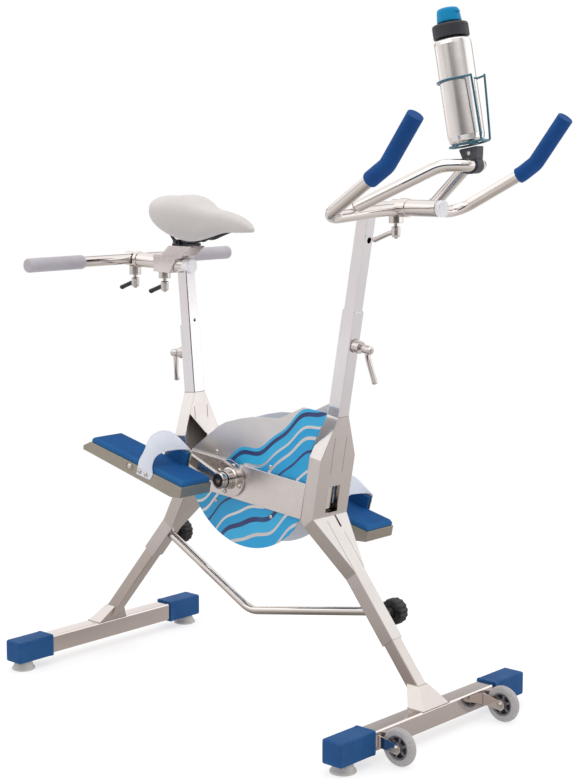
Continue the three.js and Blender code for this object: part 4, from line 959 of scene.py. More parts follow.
def post_sleeve(name, node, d, ref, z0, z1, kz, n):
    t0, t1, tk = tat(d, ref, z0) + 0.3, tat(d, ref, z1), tat(d, ref, kz)
    q = on(ref, d, tk, n * (OUT / 2 - 0.2))
    ax = V(n * d[1], 0, -n * d[0])
    parts = [
        (sqtube(d, ref, t0, t1, OUT, 3.2, OUT_BORE, 0.8), 0),
        (boss(p3(q), ax, 14, 19.2), 1),
        (bead(ring_path(p3(on(ref, d, tk, n * (OUT / 2 + 0.3))), ax, 14.3), 1.2), 2),
    ]
    # weld line where the sleeve meets the bracket
    h = OUT / 2 + 0.1
    c = [on(ref, d, t0 + 0.4, -h), on(ref, d, t0 + 0.4, h)]
    path = [V(c[0][0], -h + 2, c[0][1]), V(c[0][0], h - 2, c[0][1])]
    ring = []
    for a, b in round2([(-h, -h), (h, -h), (h, h), (-h, h)], 3.2, 4):
        e = on(ref, d, t0 + 0.4, a)
        ring.append(V(e[0], b, e[1]))
    parts.append((bead(ring, 0.8), 2))
    make(name, parts, [steel_z, steel_fit, weld], "frame", node)


post_sleeve("handlebar_post_sleeve_tube", "handlebar_post_sleeve", fp, FP_REF, 686, 922, 848, 1)
post_sleeve("saddle_post_sleeve_tube", "saddle_post_sleeve", sp, SP_REF, 695, 856, 789, -1)

# stretcher
a = p3(on(RL_REF, rl, tat(rl, RL_REF, 341)))
b = p3(on(FL_REF, fl, tat(fl, FL_REF, 258)))
full = rounded([a, V(505, 0, 190), b], 70, 12)
def clip(path, da, db):
    p = list(path)
    for first, dist in ((True, da), (False, db)):
        left = dist
        while left > 0:
            i, j = (0, 1) if first else (-1, -2)
            L = (p[j] - p[i]).length
            if L > left:
                p[i] = p[i] + (p[j] - p[i]).normalized() * left
                left = 0
            else:
                p.pop(i)
                left -= L
    return p
ta = full[1] - full[0]
tb = full[-2] - full[-1]
ang_a = abs(math.sin(V(rl[0], 0, rl[1]).angle(ta)))
ang_b = abs(math.sin(V(fl[0], 0, fl[1]).angle(tb)))
path = clip(full, 17.9 / max(0.3, ang_a), 17.9 / max(0.3, ang_b))
make("stretcher_round_tube", [
    (tube(path, 10, 36, 8.2, 0.4), 0),
    (bead(ring_path(path[0] + ta.normalized() * 1.2, ta, 10.3), 1.4), 1),
    (bead(ring_path(path[-1] + tb.normalized() * 1.2, tb, 10.3), 1.4), 1),
], [steel_tube, weld], "frame", "stretcher_tube")

# ------------------------------------------------------------------ body: beams, plates, flanges
OUTLINE = [(DISC[0] + DISC[2] * math.cos(rad(a)), DISC[1] + DISC[2] * math.sin(rad(a))) for a in range(178, 319, 2)]
edge_ = [(722, 476), (738, 602), (741, 612), (745, 620), (751, 632.5), (769, 665), (786, 697), (715, 703), (642, 669), (602, 667.5), (560, 665), (518, 656), (476, 644), (452, 632), (360, 565)]
soft_ = [0, 2, 2, 3, 3, 3, 3, 5, 12, 22, 20, 40, 60, 60, 14, 4, 0]
for tag, s in (("right", -1), ("left", 1)):
    def frame_side(y0, y1):
        return sorted((s * y0, s * y1))
    beam = cad(f"side_beam_{tag}", 0.9, 2, 28, lambda e: e.calc_length() > 8)
    make(f"side_beam_{tag}_channel", [(beam, 0)], [steel_plate], "frame", f"side_beam_{tag}")
    y0, y1 = frame_side(47, 50)
    near = {(786, 697): (762, 698), (769, 665): (756, 664)} if s > 0 else {}
    plate = side(OUTLINE + round2([OUTLINE[-1]] + [near.get(q, q) for q in edge_] + [OUTLINE[0]], soft_, 5, False)[1:-1], y0, y1, 0)
    plate = boolean(plate, [
        tube([(AXLE[0], y0 - 5, AXLE[1]), (AXLE[0], y1 + 5, AXLE[1])], 24, 48),
        box(330, 362.5, -60, 60, 396, 496, 0),
    ])
    plate = bevel(plate, 0.5, 1, 60)
    outer = 50 * s
    for f in plate.faces:
        c = f.calc_center_median()
        f.material_index = 0
    me_parts = [(plate, 0)]
    screws = []
    for x, z in ((447, 571), (617, 556), (444, 454), (618, 440)):
        screws.append((screw((x, s * 50, z), (0, s, 0), 5, 2.6), 1))
    o = make(f"side_plate_{tag}_printed", me_parts + screws, [printed, steel_fit, pale_blue], "frame", f"side_plate_{tag}", 30)
    for poly in o.data.polygons:
        if poly.material_index == 0 and poly.normal.y * s < -0.9:
            poly.material_index = 2
    fl_prof = prof([(14.3, 48), (23.4, 48), (23.4, 59.3), (44, 59.3), (44, 65), (25.5, 65), (22.4, 67.5), (21, 74), (21, 86), (14.3, 86)], 0.8, 3, True)
    parts = [(lathe([(r, t) for r, t in fl_prof], (AXLE[0], 0, AXLE[1]), (0, s, 0), 72, True), 0)]
    for ang in (65, 155, 245, 335):
        c = V(AXLE[0] + 34.5 * math.cos(rad(ang)), s * 65, AXLE[1] + 34.5 * math.sin(rad(ang)))
        parts += [(lathe(prof([(0, 0), (6.4, 0), (6.4, 0.9), (0, 0.9)], 0.2, 2), c, (0, s, 0), 28), 0), (screw(c + V(0, s * 0.8, 0), (0, s, 0), 5.2, 3.0), 1)]
    parts.append((lathe(prof([(14.6, 84.4), (20.2, 84.4), (20.2, 86.3), (14.6, 86.3)], 0.4, 2, True), (AXLE[0], 0, AXLE[1]), (0, s, 0), 64, True), 2))
    make(f"bearing_flange_{tag}_turned", parts, [steel_fit, steel_fit, black_part], "frame", f"bearing_flange_{tag}")

# ------------------------------------------------------------------ feet
def foot(name, node, bar_x, half, d, ref, top_z, body, extra=()):
    inner = half - 3.6
    path = [V(bar_x, y, BAR_Z) for y in (-inner, inner)]
    top = BAR_Z + BAR / 2
    t0, t1 = tat(d, ref, top - 1), tat(d, ref, top_z)
    c = on(ref, d, tat(d, ref, top + 34))
    g = raw([(c[0] - 17, -16, c[1] + 8), (c[0] + 17, -16, c[1] + 8), (c[0] + 17, 16, c[1] + 8), (c[0] - 17, 16, c[1] + 8),
             (bar_x - 22, -46, top - 0.8), (bar_x + 22, -46, top - 0.8), (bar_x + 22, 46, top - 0.8), (bar_x - 22, 46, top - 0.8)],
            [(0, 1, 2, 3), (4, 7, 6, 5), (0, 4, 5, 1), (1, 5, 6, 2), (2, 6, 7, 3), (3, 7, 4, 0)])
    parts = [
        (sweep(path, rsq(BAR, 4.2), rsq(BAR - 5, 2), (0, 0, 1)), 0),
        (sqtube(d, ref, t0 - 6, t1, INN, 2.8, INN_BORE, 0.8), 1),
        (bevel(g, 1.2, 2), 1),
    ]
    foot_ring = [V(bar_x - 22, -46, top), V(bar_x - 22, 46, top), V(bar_x + 22, 46, top), V(bar_x + 22, -46, top)]
    parts.append((bead(foot_ring, 1.1), 2))
    ct = on(ref, d, tat(d, ref, c[1] + 8.6))
    h = INN / 2 + 0.4
    k = h / d[1] * 1.0
    parts.append((bead([V(ct[0] - 16.4, -14.6, c[1] + 8.2), V(ct[0] - 16.4, 14.6, c[1] + 8.2), V(ct[0] + 16.4, 14.6, c[1] + 8.2), V(ct[0] + 16.4, -14.6, c[1] + 8.2)], 1.0), 2))
    return make(name, parts + list(extra), [steel_bar, steel_leg, weld, steel_fit], body, node)


extra = []
for s in (-1, 1):
    for k in (-1, 1):
        y = s * WHEEL_Y + k * FORK_Y
        end = [(WHEEL_X + 12.5 * math.cos(rad(q)), WHEEL_Z + 12.5 * math.sin(rad(q))) for q in range(-115, 111, 15)]
        arm = side(round2([(1057, 66), (1057, 40)], 0) + end, y - 1.25, y + 1.25, 0.4)
        extra.append((arm, 0))
        extra.append((bead([V(1058.4, y - 1.3, 41), V(1058.4, y - 1.3, 65)], 1.0, closed=False), 2))
    extra.append((tube([(WHEEL_X, s * WHEEL_Y - 16, WHEEL_Z), (WHEEL_X, s * WHEEL_Y + 16, WHEEL_Z)], 4, 24), 3))
    for k in (-1, 1):
        for piece in cap_nut((WHEEL_X, s * WHEEL_Y + k * (FORK_Y + 1.2), WHEEL_Z), (0, k, 0), 6.4, 3.3, 8.4):
            extra.append((piece, 3))
foot("front_foot_welded", "front_foot_frame", FRONT_BAR_X, FRONT_HALF, fl, FL_REF, 318, "front_foot", extra)
foot("rear_foot_welded", "rear_foot_frame", REAR_BAR_X, REAR_HALF, rl, RL_REF, 375, "rear_foot")


def end_cap(name, node, bar_x, y_out, length, body):
    s = 1 if y_out > 0 else -1
    h, rr = 26.6, 4.4
    rows = []
    for q in range(0, 6):  # rounded outer end
        a = rad(90 * q / 5)
        rows.append((5.5 * (1 - math.sin(a)), h - 5.5 * (1 - math.cos(a)) if False else h - 5.5 + 5.5 * math.sin(a), 5.5 - 5.5 * math.cos(a)))
    st = [(h - 5.5 + 5.5 * math.sin(rad(90 * q / 6)), 5.5 - 5.5 * math.cos(rad(90 * q / 6))) for q in range(7)]
    st += [(h, 18), (h, length * 0.5), (h, length - 9), (h + 0.05, length - 7.6), (27.1, length - 7.2), (27.1, length - 1.2), (26.6, length - 0.4), (25.6, length)]
    st_in = [(22.5, length), (22.3, length - 0.8), (22.3, length * 0.5), (22.3, 3.6)]
    rings = []
    for half, t in st + st_in:
        r = rr * half / h if half > 22.6 else 4.4
        rings.append([V(bar_x + u, y_out - s * t, BAR_Z + w) for u, w in rsq(2 * half, r, 6)])
    bm = loft(rings)
    return make(name, [(bm, 0)], [blue_cap], body, node, 50)


for tag, s in (("right", -1), ("left", 1)):
    end_cap(f"rear_end_cap_{tag}_moulded", f"rear_end_cap_{tag}", REAR_BAR_X, s * REAR_HALF, 108, "rear_foot")
    end_cap(f"front_end_cap_{tag}_moulded", f"front_end_cap_{tag}", FRONT_BAR_X, s * FRONT_HALF, 112, "front_foot")
    ft = 20.5
    foot_prof = [(0, 0.9), (8, 0.9), (9, 0), (12, 0), (13, 0.9), (17, 0.9), (18, 0), (27.0, 0)]
    foot_prof += round2([(27.0, 0), (28.4, 1.0), (28.5, 2.6), (27.4, 5.2), (24.4, 8.4), (22.9, 12), (21.9, 16), (21.2, 16.6), (21.2, 18.4), (20.4, ft), (0, ft)], 1.2, 3, False)[1:]
    for end, x, y in (("rear", REAR_BAR_X, s * (REAR_HALF - 33)), ("front", FRONT_BAR_X, s * (FRONT_HALF - 38))):
        make(f"{end}_rubber_foot_{tag}_turned", [(lathe(foot_prof, (x, y, OZ), (0, 0, 1), 72), 0)], [grey_rubber], f"{end}_foot", f"{end}_rubber_foot_{tag}", 50)

# transport wheels
for tag, s in (("right", -1), ("left", 1)):
    o = V(WHEEL_X, s * WHEEL_Y, WHEEL_Z)
    tp = []
    for q in range(0, 17):
        a = rad(-76 + 152 * q / 16)
        tp.append((29.0 + 12.0 * math.cos(a) ** 0.68, 9.4 * math.sin(a) / math.sin(rad(76))))
    closed_tp = [(26, -7.8), (27.2, -8.8), (29.5, -9.3)] + tp[1:-1] + [(29.5, 9.3), (27.2, 8.8), (26, 7.8)]
    make(f"wheel_tyre_{tag}_tread", [(lathe(closed_tp, o, (0, 1, 0), 96, True), 0)], [tread], f"wheel_{tag}", f"wheel_tyre_{tag}", 50)
    hub = [
        (lathe(prof([(22.2, -6.7), (25.7, -6.7), (25.7, 6.7), (22.2, 6.7)], 0.8, 2, True), o, (0, 1, 0), 72, True), 0),
        (lathe(prof([(6.2, -10.6), (10.2, -10.6), (11.2, -7), (11.2, 7), (10.2, 10.6), (6.2, 10.6)], 0.7, 2, True), o, (0, 1, 0), 48, True), 0),
        (lathe(prof([(21, -1.2), (23, -1.2), (23, 1.2), (21, 1.2)], 0.2, 1, True), o, (0, 1, 0), 48, True), 0),
        (lathe(prof([(4.5, -11.5), (6.6, -11.5), (7.6, -10.8), (7.6, 10.8), (6.6, 11.5), (4.5, 11.5)], 0.4, 2, True), o, (0, 1, 0), 40, True), 1),
        (lathe(prof([(9, -1.4), (23, -1.4), (23, 1.4), (9, 1.4)], 0.2, 1, True), o, (0, 1, 0), 60, True), 2),
    ]
    for i in range(6):
        a = i * math.pi / 3 + 0.3
        U, W = V(math.cos(a), 0, math.sin(a)), V(-math.sin(a), 0, math.cos(a))
        pts = [(9.6, -2.6), (23.2, -1.9), (23.2, 1.9), (9.6, 2.6)]
        hub.append((prism(pts, o + V(0, 5.6, 0), U, W, 11.2, 0.6), 0))
    make(f"wheel_hub_{tag}_spoked", hub, [hub_dark, steel_fit, black_part], f"wheel_{tag}", f"wheel_hub_{tag}")


# clamping knobs of the legs
def knob(name, node, x, z, body):
    n, lobes = 168, 14
    def wob(a, r, t):
        k = (math.cos(lobes * a) + 1) / 2
        return r - (1 - k ** 0.45) * 2.6 * min(1, r / 26) if r > 18 else r
    pr = [(0, 43.6), (14, 43.6), (14, 42), (26, 42), (28.6, 43.2), (29.8, 45.6), (30, 49), (30, 64), (29.4, 68.4), (27.4, 71), (24, 72), (17, 71.6), (15, 70.2), (0, 70.6)]
    parts = [
        (lathe(pr, (x, 0, z), (0, 1, 0), n, wob=wob), 0),
        (lathe(prof([(0, 70), (12, 70), (13.2, 70.6), (12, 71.6), (6, 72), (0, 72)], 0.4, 2), (x, 0, z), (0, 1, 0), 48), 0),
        (lathe(prof([(0, 36.3), (11.5, 36.3), (13, 37.4), (13, 42.4), (0, 42.4)], 0.5, 2), (x, 0, z), (0, 1, 0), 48), 0),
        (lathe(prof([(0, 15.7), (4, 15.7), (5, 16.8), (5, 38), (0, 38)], 0.3, 2), (x, 0, z), (0, 1, 0), 28), 1),
    ]
    make(name, parts, [black_knob, steel_fit], body, node, 45)


knob("front_leg_knob_lobed", "front_leg_knob", fkx, 248, "front_knob")
knob("rear_leg_knob_lobed", "rear_leg_knob", rkx, 329, "rear_knob")

# ------------------------------------------------------------------ crank
make("crank_axle_turned", [
    (lathe(prof([(0, -88), (12.6, -88), (14, -86.6), (14, 86.6), (12.6, 88), (0, 88)], 0.5, 2), (AXLE[0], 0, AXLE[1]), (0, 1, 0), 56), 0),
], [steel_fit], "crank", "crank_axle")
rotor = [(lathe(prof([(14.4, -40), (24, -40), (24, 40), (14.4, 40)], 1, 2, True), (AXLE[0], 0, AXLE[1]), (0, 1, 0), 56, True), 0)]
for i in range(6):
    a = i * math.pi / 3
    U, W = V(math.cos(a), 0, math.sin(a)), V(-math.sin(a), 0, math.cos(a))
    rotor.append((prism(round2([(18, -1.5), (128, -1.5), (128, 1.5), (18, 1.5)], 1.2, 3, True), V(AXLE[0], 38, AXLE[1]), U, W, 76, 0.5), 0))
    rotor.append((prism([(20, -5), (46, -1.4), (46, 1.4), (20, 5)], V(AXLE[0], 3, AXLE[1]), U, W, 6, 0.6), 0))
make("paddle_rotor_moulded", rotor, [rotor_blue], "crank", "paddle_rotor")
rp = (AXLE[0] + CRANK_R * math.cos(rad(CRANK_ANGLE)), AXLE[1] + CRANK_R * math.sin(rad(CRANK_ANGLE)))
lp = (2 * AXLE[0] - rp[0], 2 * AXLE[1] - rp[1])
for tag, s, p in (("right", -1, rp), ("left", 1, lp)):
    u = V((p[0] - AXLE[0]) / CRANK_R, 0, (p[1] - AXLE[1]) / CRANK_R)
    w = V(-u.z, 0, u.x)
    out = [(13 * math.cos(rad(q)) + 0, 13 * math.sin(rad(q))) for q in range(90, 271, 15)]
    out += [(CRANK_R + 11 * math.cos(rad(q)), 11 * math.sin(rad(q))) for q in range(-90, 91, 15)]
    c0 = V(AXLE[0], max(s * 91, s * 101), AXLE[1])
    arm = prism(out, c0, u, w, 10, 1.4, 3)
    pin = V(p[0], 0, p[1])
    parts = [
        (arm, 0),
        (lathe(prof([(0, 88.3), (19, 88.3), (19, 101.8), (17.6, 104), (15.6, 104), (15.6, 102.6), (0, 102.6)], 0.8, 3), (AXLE[0], 0, AXLE[1]), (0, s, 0), 64), 1),
        (lathe(prof([(0, 102), (15.3, 102), (15.3, 103.4), (9.6, 103.4), (9.2, 102.8), (0, 102.8)], 0.3, 2), (AXLE[0], 0, AXLE[1]), (0, s, 0), 56), 2),
        (hexa((AXLE[0], s * 102.4, AXLE[1]), (0, s, 0), 7, 1.5, 0.4), 1),
        (lathe(prof([(0, 90), (12, 90), (12, 103), (11, 104), (0, 104)], 0.7, 2), pin, (0, s, 0), 48), 1),
        (lathe(prof([(0, 100), (6, 100), (6, 117.6), (9, 117.6), (9, 121.8), (8.2, 122.5), (0, 122.5)], 0.4, 2), pin, (0, s, 0), 40), 1),
        (bead(ring_path(V(AXLE[0], s * 101.2, AXLE[1]), (0, 1, 0), 19.1), 0.7), 3),
    ]
    make(f"crank_arm_{tag}_forged", parts, [steel_plate, steel_fit, black_part, weld], "crank", f"crank_arm_{tag}")

# ------------------------------------------------------------------ pedals
PC, PS = math.cos(rad(-13.5)), math.sin(rad(-13.5))


def pedal(tag, s, pin):
    ref = (pin[0] - 33.4 * PC + 45 * PS, pin[1] - 33.4 * PS - 45 * PC)
    fwd, up = V(PC, 0, PS), V(-PS, 0, PC)
    def L(a, y, h):
        return V(ref[0], 0, ref[1]) + fwd * a + up * h + V(0, y, 0)
    mid = s * 162
    yA, yB = mid - 48, mid + 48
    body = f"pedal_{tag}"
    # metal tray: shell of the outline, eased edges
    tray = cad(f"pedal_tray_{tag}", 0.9, 2, 28, lambda e: e.calc_length() > 5)
    parts = [(tray, 0)]
    out_y, n = (yA, -1) if s < 0 else (yB, 1)
    # round pocket with a bolt on the outboard side, and the bolts of the strap's foot
    parts.append((lathe(prof([(9.6, -0.5), (11.6, -0.5), (11.6, 0.9), (9.6, 0.9)], 0.5, 2, True), L(-1, yA, 4.7), (0, -1, 0), 44, True), 0))
    parts.append((lathe(prof([(0, -0.4), (6.4, -0.4), (6.4, 0.8), (5.0, 2.0), (0, 2.4)], 0.5, 3), L(-1, yA, 4.7), (0, -1, 0), 36), 1))
    make(f"pedal_tray_{tag}_pressed", parts, [tray_metal, steel_fit], body, f"pedal_tray_{tag}")

    # foam pad: slab with soft edges, slightly crowned, and the upright pad on the wall
    y0, y1 = yA + 1.5, yB - 4
    ns, ny = 60, 22
    rings = []
    def top_h(a):
        return 28 + (a + 138) / 308 * 3
    def bot_h(a):
        return 14.6 + (a + 141) / 313 * 3
    def sq(v, e):
        return math.copysign(abs(v) ** e, v)
    for i in range(ns + 1):
        t = i / ns
        a = -138 + 308 * t
        e = min(a + 138, 170 - a)
        drop_e = 0 if e > 4 else (1 - math.sqrt(max(0, 1 - ((4 - e) / 4) ** 2))) * 3.2
        ring = []
        cy, hw = (y0 + y1) / 2, (y1 - y0) / 2
        pull = 0.35 * math.sin(math.pi * t)  # sides pull in a little between the corners
        for k in range(4):
            pass
        prof_top = []
        for j in range(ny + 1):
            v = -1 + 2 * j / ny
            q = 1 - abs(v)
            edge = 0 if q * hw > 4 else (1 - math.sqrt(max(0, 1 - ((4 - q * hw) / 4) ** 2))) * 3.2
            crown = 0.7 * (1 - v * v) * min(1, e / 20)
            prof_top.append((cy + v * (hw - pull), top_h(a) - drop_e - edge - 0.7 + crown))
        rowpts = prof_top + [(cy + hw - pull, bot_h(a) + 0.8), (cy + hw - pull - 0.8, bot_h(a)), (cy - hw + pull + 0.8, bot_h(a)), (cy - hw + pull, bot_h(a) + 0.8)]
        rings.append([L(a, y, h) for y, h in rowpts])
    slab = loft(rings)
    wp = side_local(L, [(14, 20), (93, 20), (95, 60), (56, 60)], yB - 11, yB - 3.4, 2.2)
    cutters = []
    yin = yB if s < 0 else yA
    if s < 0:
        cutters.append(tube([V(pin[0], yB - 30, pin[1]), V(pin[0], yB + 2, pin[1])], 11, 40))
    else:
        cutters.append(tube([V(pin[0], yA - 2, pin[1]), V(pin[0], yA + 12, pin[1])], 11, 40))
    if s > 0:
        cutters.append(side_local(L, [(2, 0), (66, 0), (66, 80), (2, 80)], yA - 2, yA + 3.4, 0))
    foam_parts = [(boolean(slab, [c.copy() for c in cutters]), 0)]
    foam_parts.append((boolean(wp, cutters), 0))
    pad = make(f"pedal_pad_{tag}_foam", foam_parts, [foam_blue], body, f"pedal_pad_{tag}", 42)

    # strap over the foot
    # toe cap: the edge near the toes and the edge near the heel as (across, along, up)
    toe = [(-1.9, 71.4, -1.8), (-1.9, 77.8, 13.5), (-1.7, 71.8, 32.4), (6, 70.3, 51.7), (24, 74.5, 63.5), (55, 79.4, 66.8), (84, 85.3, 66.2), (97.0, 94.5, 64.2), (98.2, 95.6, 54), (98.2, 95.6, 42)]
    heel = [(-1.9, 26.2, -4), (-1.7, 28, 30), (3, 34, 55.1), (14, 34.5, 86.6), (30, 37.4, 98.9), (48, 40.2, 102.2), (68, 52, 99.1), (86, 69.5, 82.2), (97.8, 84, 62), (98.2, 82, 42)]
    if s > 0:  # on the left pedal the band first rises outside the lug of the crank pin
        toe[1:6] = [(-1.9, 77.8, 13.5), (-1.9, 73, 40), (0.4, 72, 60), (18, 75, 66.5), (52, 79.4, 67.5)]
        heel[1:5] = [(-1.9, 28, 36), (-1.4, 32, 66), (9, 34.5, 88), (28, 37.4, 99)]
    fe, be = spline([V(*q) for q in toe], 8), spline([V(*q) for q in heel], 8)
    n_d, cols = len(fe), 26
    outer_pts, inner_pts = [], []
    mid_ = [(p + q) / 2 for p, q in zip(fe, be)]
    for i in range(n_d):
        T = (mid_[min(i + 1, n_d - 1)] - mid_[max(i - 1, 0)]).normalized()
        W_ = fe[i] - be[i]
        N_ = T.cross(W_).normalized()
        if N_.dot(mid_[i] - V(52, 55, 20)) < 0:
            N_ = -N_
        ro, ri = [], []
        for j in range(cols + 1):
            t = j / cols
            t = t - 0.35 * math.sin(2 * math.pi * t) / (2 * math.pi)
            edge = min(t, 1 - t) * W_.length
            e2 = min(edge, 1.6 * min(i, n_d - 1 - i))
            groove = 0.5 * math.exp(-((e2 - 5.0) / 1.0) ** 2)
            lip = 0.35 if e2 < 3.4 else 0.0
            roll = 0.7 * (1 - min(1, edge / 1.4)) ** 2
            crown = 3.0 * 4 * t * (1 - t) * min(1, i / 16, max(0, n_d - 1 - i - 14) / 14)
            p = be[i] + W_ * t + N_ * crown
            po, pi = p + N_ * (lip - groove - roll), p - N_ * (1.9 - roll * 0.6)
            ro.append(L(po.y, yA + po.x, po.z))
            ri.append(L(pi.y, yA + pi.x, pi.z))
        outer_pts.append(ro)
        inner_pts.append(ri)
    rings = [outer_pts[i] + inner_pts[i][::-1] for i in range(n_d)]
    strap = loft(rings)
    parts = [(strap, 0)]
    # plate and screws on the foot of the strap
    q0 = L(43, yA - 2.2, 3)
    for a, h_ in (((35.9, 6.0), (56.6, 6.9)) if s < 0 else ((30, 2), (56, 2))):
        c = L(a, yA - 2.1, h_)
        parts.append((lathe(prof([(0, 0), (7.4, 0), (7.4, 0.8), (0, 0.8)], 0.25, 2), c, (0, -1, 0), 32), 1))
        parts.append((screw(c + V(0, -0.6, 0), (0, -1, 0), 5.2, 2.4), 1))
    hole = []
    if s < 0:
        hole.append(tube([V(pin[0], yB - 30, pin[1]), V(pin[0], yB + 10, pin[1])], 13, 40))
        hole.append(side_local(L, [(-20, 36), (120, 36), (120, 62.3), (-20, 62.3)], yB - 4, yB + 0.3, 0))
    else:
        hole.append(tube([V(pin[0], yA - 5, pin[1]), V(pin[0], yA + 13, pin[1])], 7.2, 40))
        hole.append(side_local(L, [(-20, 36), (120, 36), (120, 62.3), (-20, 62.3)], yB - 4, yB + 0.3, 0))
    st = boolean(parts[0][0], hole)
    parts[0] = (st, 0)
    make(f"pedal_strap_{tag}_band", parts, [strap_white, steel_fit], body, f"pedal_strap_{tag}", 42)


def side_local(L, pts, y0, y1, w):
    n = len(pts)
    a = [L(p[0], y0, p[1]) for p in pts]
    b = [L(p[0], y1, p[1]) for p in pts]
    bm = raw(a + b, [tuple(range(n))[::-1], tuple(range(n, 2 * n))] + [(i, (i + 1) % n, n + (i + 1) % n, n + i) for i in range(n)])
    return bevel(bm, w, 3) if w else bm


pedal("right", -1, rp)
pedal("left", 1, lp)

# ------------------------------------------------------------------ clamp levers of the posts and slides
n = V(fp[1], 0, -fp[0])
q = on(FP_REF, fp, tat(fp, FP_REF, 848), OUT / 2 + 19)
lever("handlebar_post_lever_cast", p3(q), n, V(-fp[0], 0, -fp[1]), 68, 32, "handlebar_post_clamp", "handlebar_post_lever", steel_fit, steel_dark)
m_ = V(-sp[1], 0, sp[0])
q = on(SP_REF, sp, tat(sp, SP_REF, 789), -(OUT / 2 + 19))
lever("saddle_post_lever_cast", p3(q), m_, V(-sp[0], 0, -sp[1]), 66, 1, "saddle_post_clamp", "saddle_post_lever", steel_fit, steel_dark)
lever("rear_handle_lever_cast", V(122, 0, BOSS_Z), V(0, 0, -1), V(-1, 0, 0), 50, 14, "rear_handle_clamp", "rear_handle_lever", steel_dark, steel_dark)
lever("saddle_slide_lever_cast", V(225.5, 0, BOSS_Z - 4), V(0, 0, -1), V(-1, 0, 0), 50, 14, "saddle_slide_clamp", "saddle_slide_lever", steel_dark, steel_dark)
lever("handlebar_slide_lever_cast", V(934, 0, REC_Z - 33), V(0, 0, -1), V(-1, 0, 0), 60, 18, "handlebar_slide_clamp", "handlebar_slide_lever", steel_fit, steel_dark)

# ------------------------------------------------------------------ saddle post, slide tube
def head_z(x):
    return HEAD_Z + (x - HANDLE_X) * math.tan(rad(-2.5))


def head(x0, x1, r, hollow=None, n=48, soft=0.8):
    return tube([V(x0, 0, head_z(x0)), V((x0 + x1) / 2, 0, head_z((x0 + x1) / 2)), V(x1, 0, head_z(x1))], r, n, hollow, soft)


slide = boolean(head(97, 303, 17.5, 14.2), [box(80, 131, -30, 30, HEAD_Z - 13.4, HEAD_Z + 14.1, 0)])
hax = V(math.cos(rad(2.5)), 0, -math.sin(rad(2.5)))
post = sqtube(sp, SP_REF, tat(sp, SP_REF, 670), tat(sp, SP_REF, 990), INN, 2.8, INN_BORE, 0.8)
hole_at = on(SP_REF, sp, tat(sp, SP_REF, 882), INN / 2)
post = boolean(post, [tube([p3(on(SP_REF, sp, tat(sp, SP_REF, 866), INN / 2 - 6), 2), p3(on(SP_REF, sp, tat(sp, SP_REF, 866), INN / 2 + 6), 2)], 4, 28)])
make("saddle_post_and_slide_welded", [
    (post, 0),
    (slide, 1),
    (lathe(prof([(17.3, 0), (20, 0), (20, 10), (17.3, 10)], 1.2, 3, True), V(131, 0, head_z(131)), hax, 56, True), 1),
    (boss(V(122, 0, BOSS_Z + 22), V(0, 0, -1), 14.5, 22, 5.3, 0), 2),
    (lathe(prof([(0, 0), (14.1, 0), (14.1, -6), (17.1, -6), (17.5, -5.4), (17.5, 15.5), (15.2, 18), (0, 18)], 1.2, 4), V(303, 0, head_z(303)), hax, 56), 3),
    (bead(ring_path(p3(on(SP_REF, sp, tat(sp, SP_REF, 981.5))), V(sp[0], 0, sp[1]), 16.2), 1.4), 4),
], [steel_z, steel_tube, steel_fit, white_plug, weld], "saddle_post", "saddle_post_and_slide_tube")

# rear handle
bz, bx, y1 = HEAD_Z + 0.3, HANDLE_X - 4, HANDLE_HALF - 3.3
stem = head(133, 288, 13.4, 10.9)
make("rear_handle_bar", [
    (tube([V(bx, -y1, bz), V(bx, 0, bz), V(bx, y1, bz)], 12.7, 40, 10.9, 0.6), 0),
    (stem, 0),
    (tube([V(bx + 4, 0, bz), V(136, 0, head_z(136))], 12.4, 40, None, 0.4), 0),
    (bead(ring_path(V(bx + 11.4, 0, bz), (1, 0, 0), 12.5), 1.1), 1),
], [steel_tube, weld], "rear_handle_assembly", "rear_handle")
for tag, s in (("right", -1), ("left", 1)):
    gp = [(12.9, 165.6), (14.6, 165.1), (16.0, 166.2), (16.7, 168.4)]
    for i in range(1, 40):
        t = 168.4 + (HANDLE_HALF - 6 - 168.4) * i / 40
        gp.append((16.7 - 0.16 * math.sin(math.pi * i / 40) + 0.05 * math.sin(i * 1.7), t))
    gp += [(16.6, HANDLE_HALF - 5), (15.9, HANDLE_HALF - 2.2), (14.4, HANDLE_HALF - 0.6), (12, HANDLE_HALF), (0, HANDLE_HALF), (0, y1 + 0.3), (12.9, y1 + 0.3)]
    bm = lathe(gp[:-3] + [(0, HANDLE_HALF), (0, y1 + 0.3), (12.9, y1 + 0.3), (12.9, 165.6)], V(bx, 0, bz), (0, s, 0), 56)
    g = make(f"rear_handle_grip_{tag}_foam", [(bm, 0)], [foam_grey], "rear_handle_assembly", f"rear_handle_grip_{tag}", 50)

# ------------------------------------------------------------------ saddle carriage, rails, saddle
carriage = cad("saddle_carriage", 0.7, 2, 30, lambda e: e.calc_length() > 7)
make("saddle_carriage_folded", [
    (carriage, 0),
    (lathe(prof([(5.4, 0), (14.6, 0), (14.6, 19), (5.4, 19)], 0.9, 3, True), V(225.5, 0, BOSS_Z - 4), (0, 0, 1), 48, True), 1),
    (bead(ring_path(V(225.5, 0, 979), (0, 0, 1), 14.8), 1.2), 2),
], [steel_plate, steel_fit, weld], "saddle_assembly", "saddle_carriage")

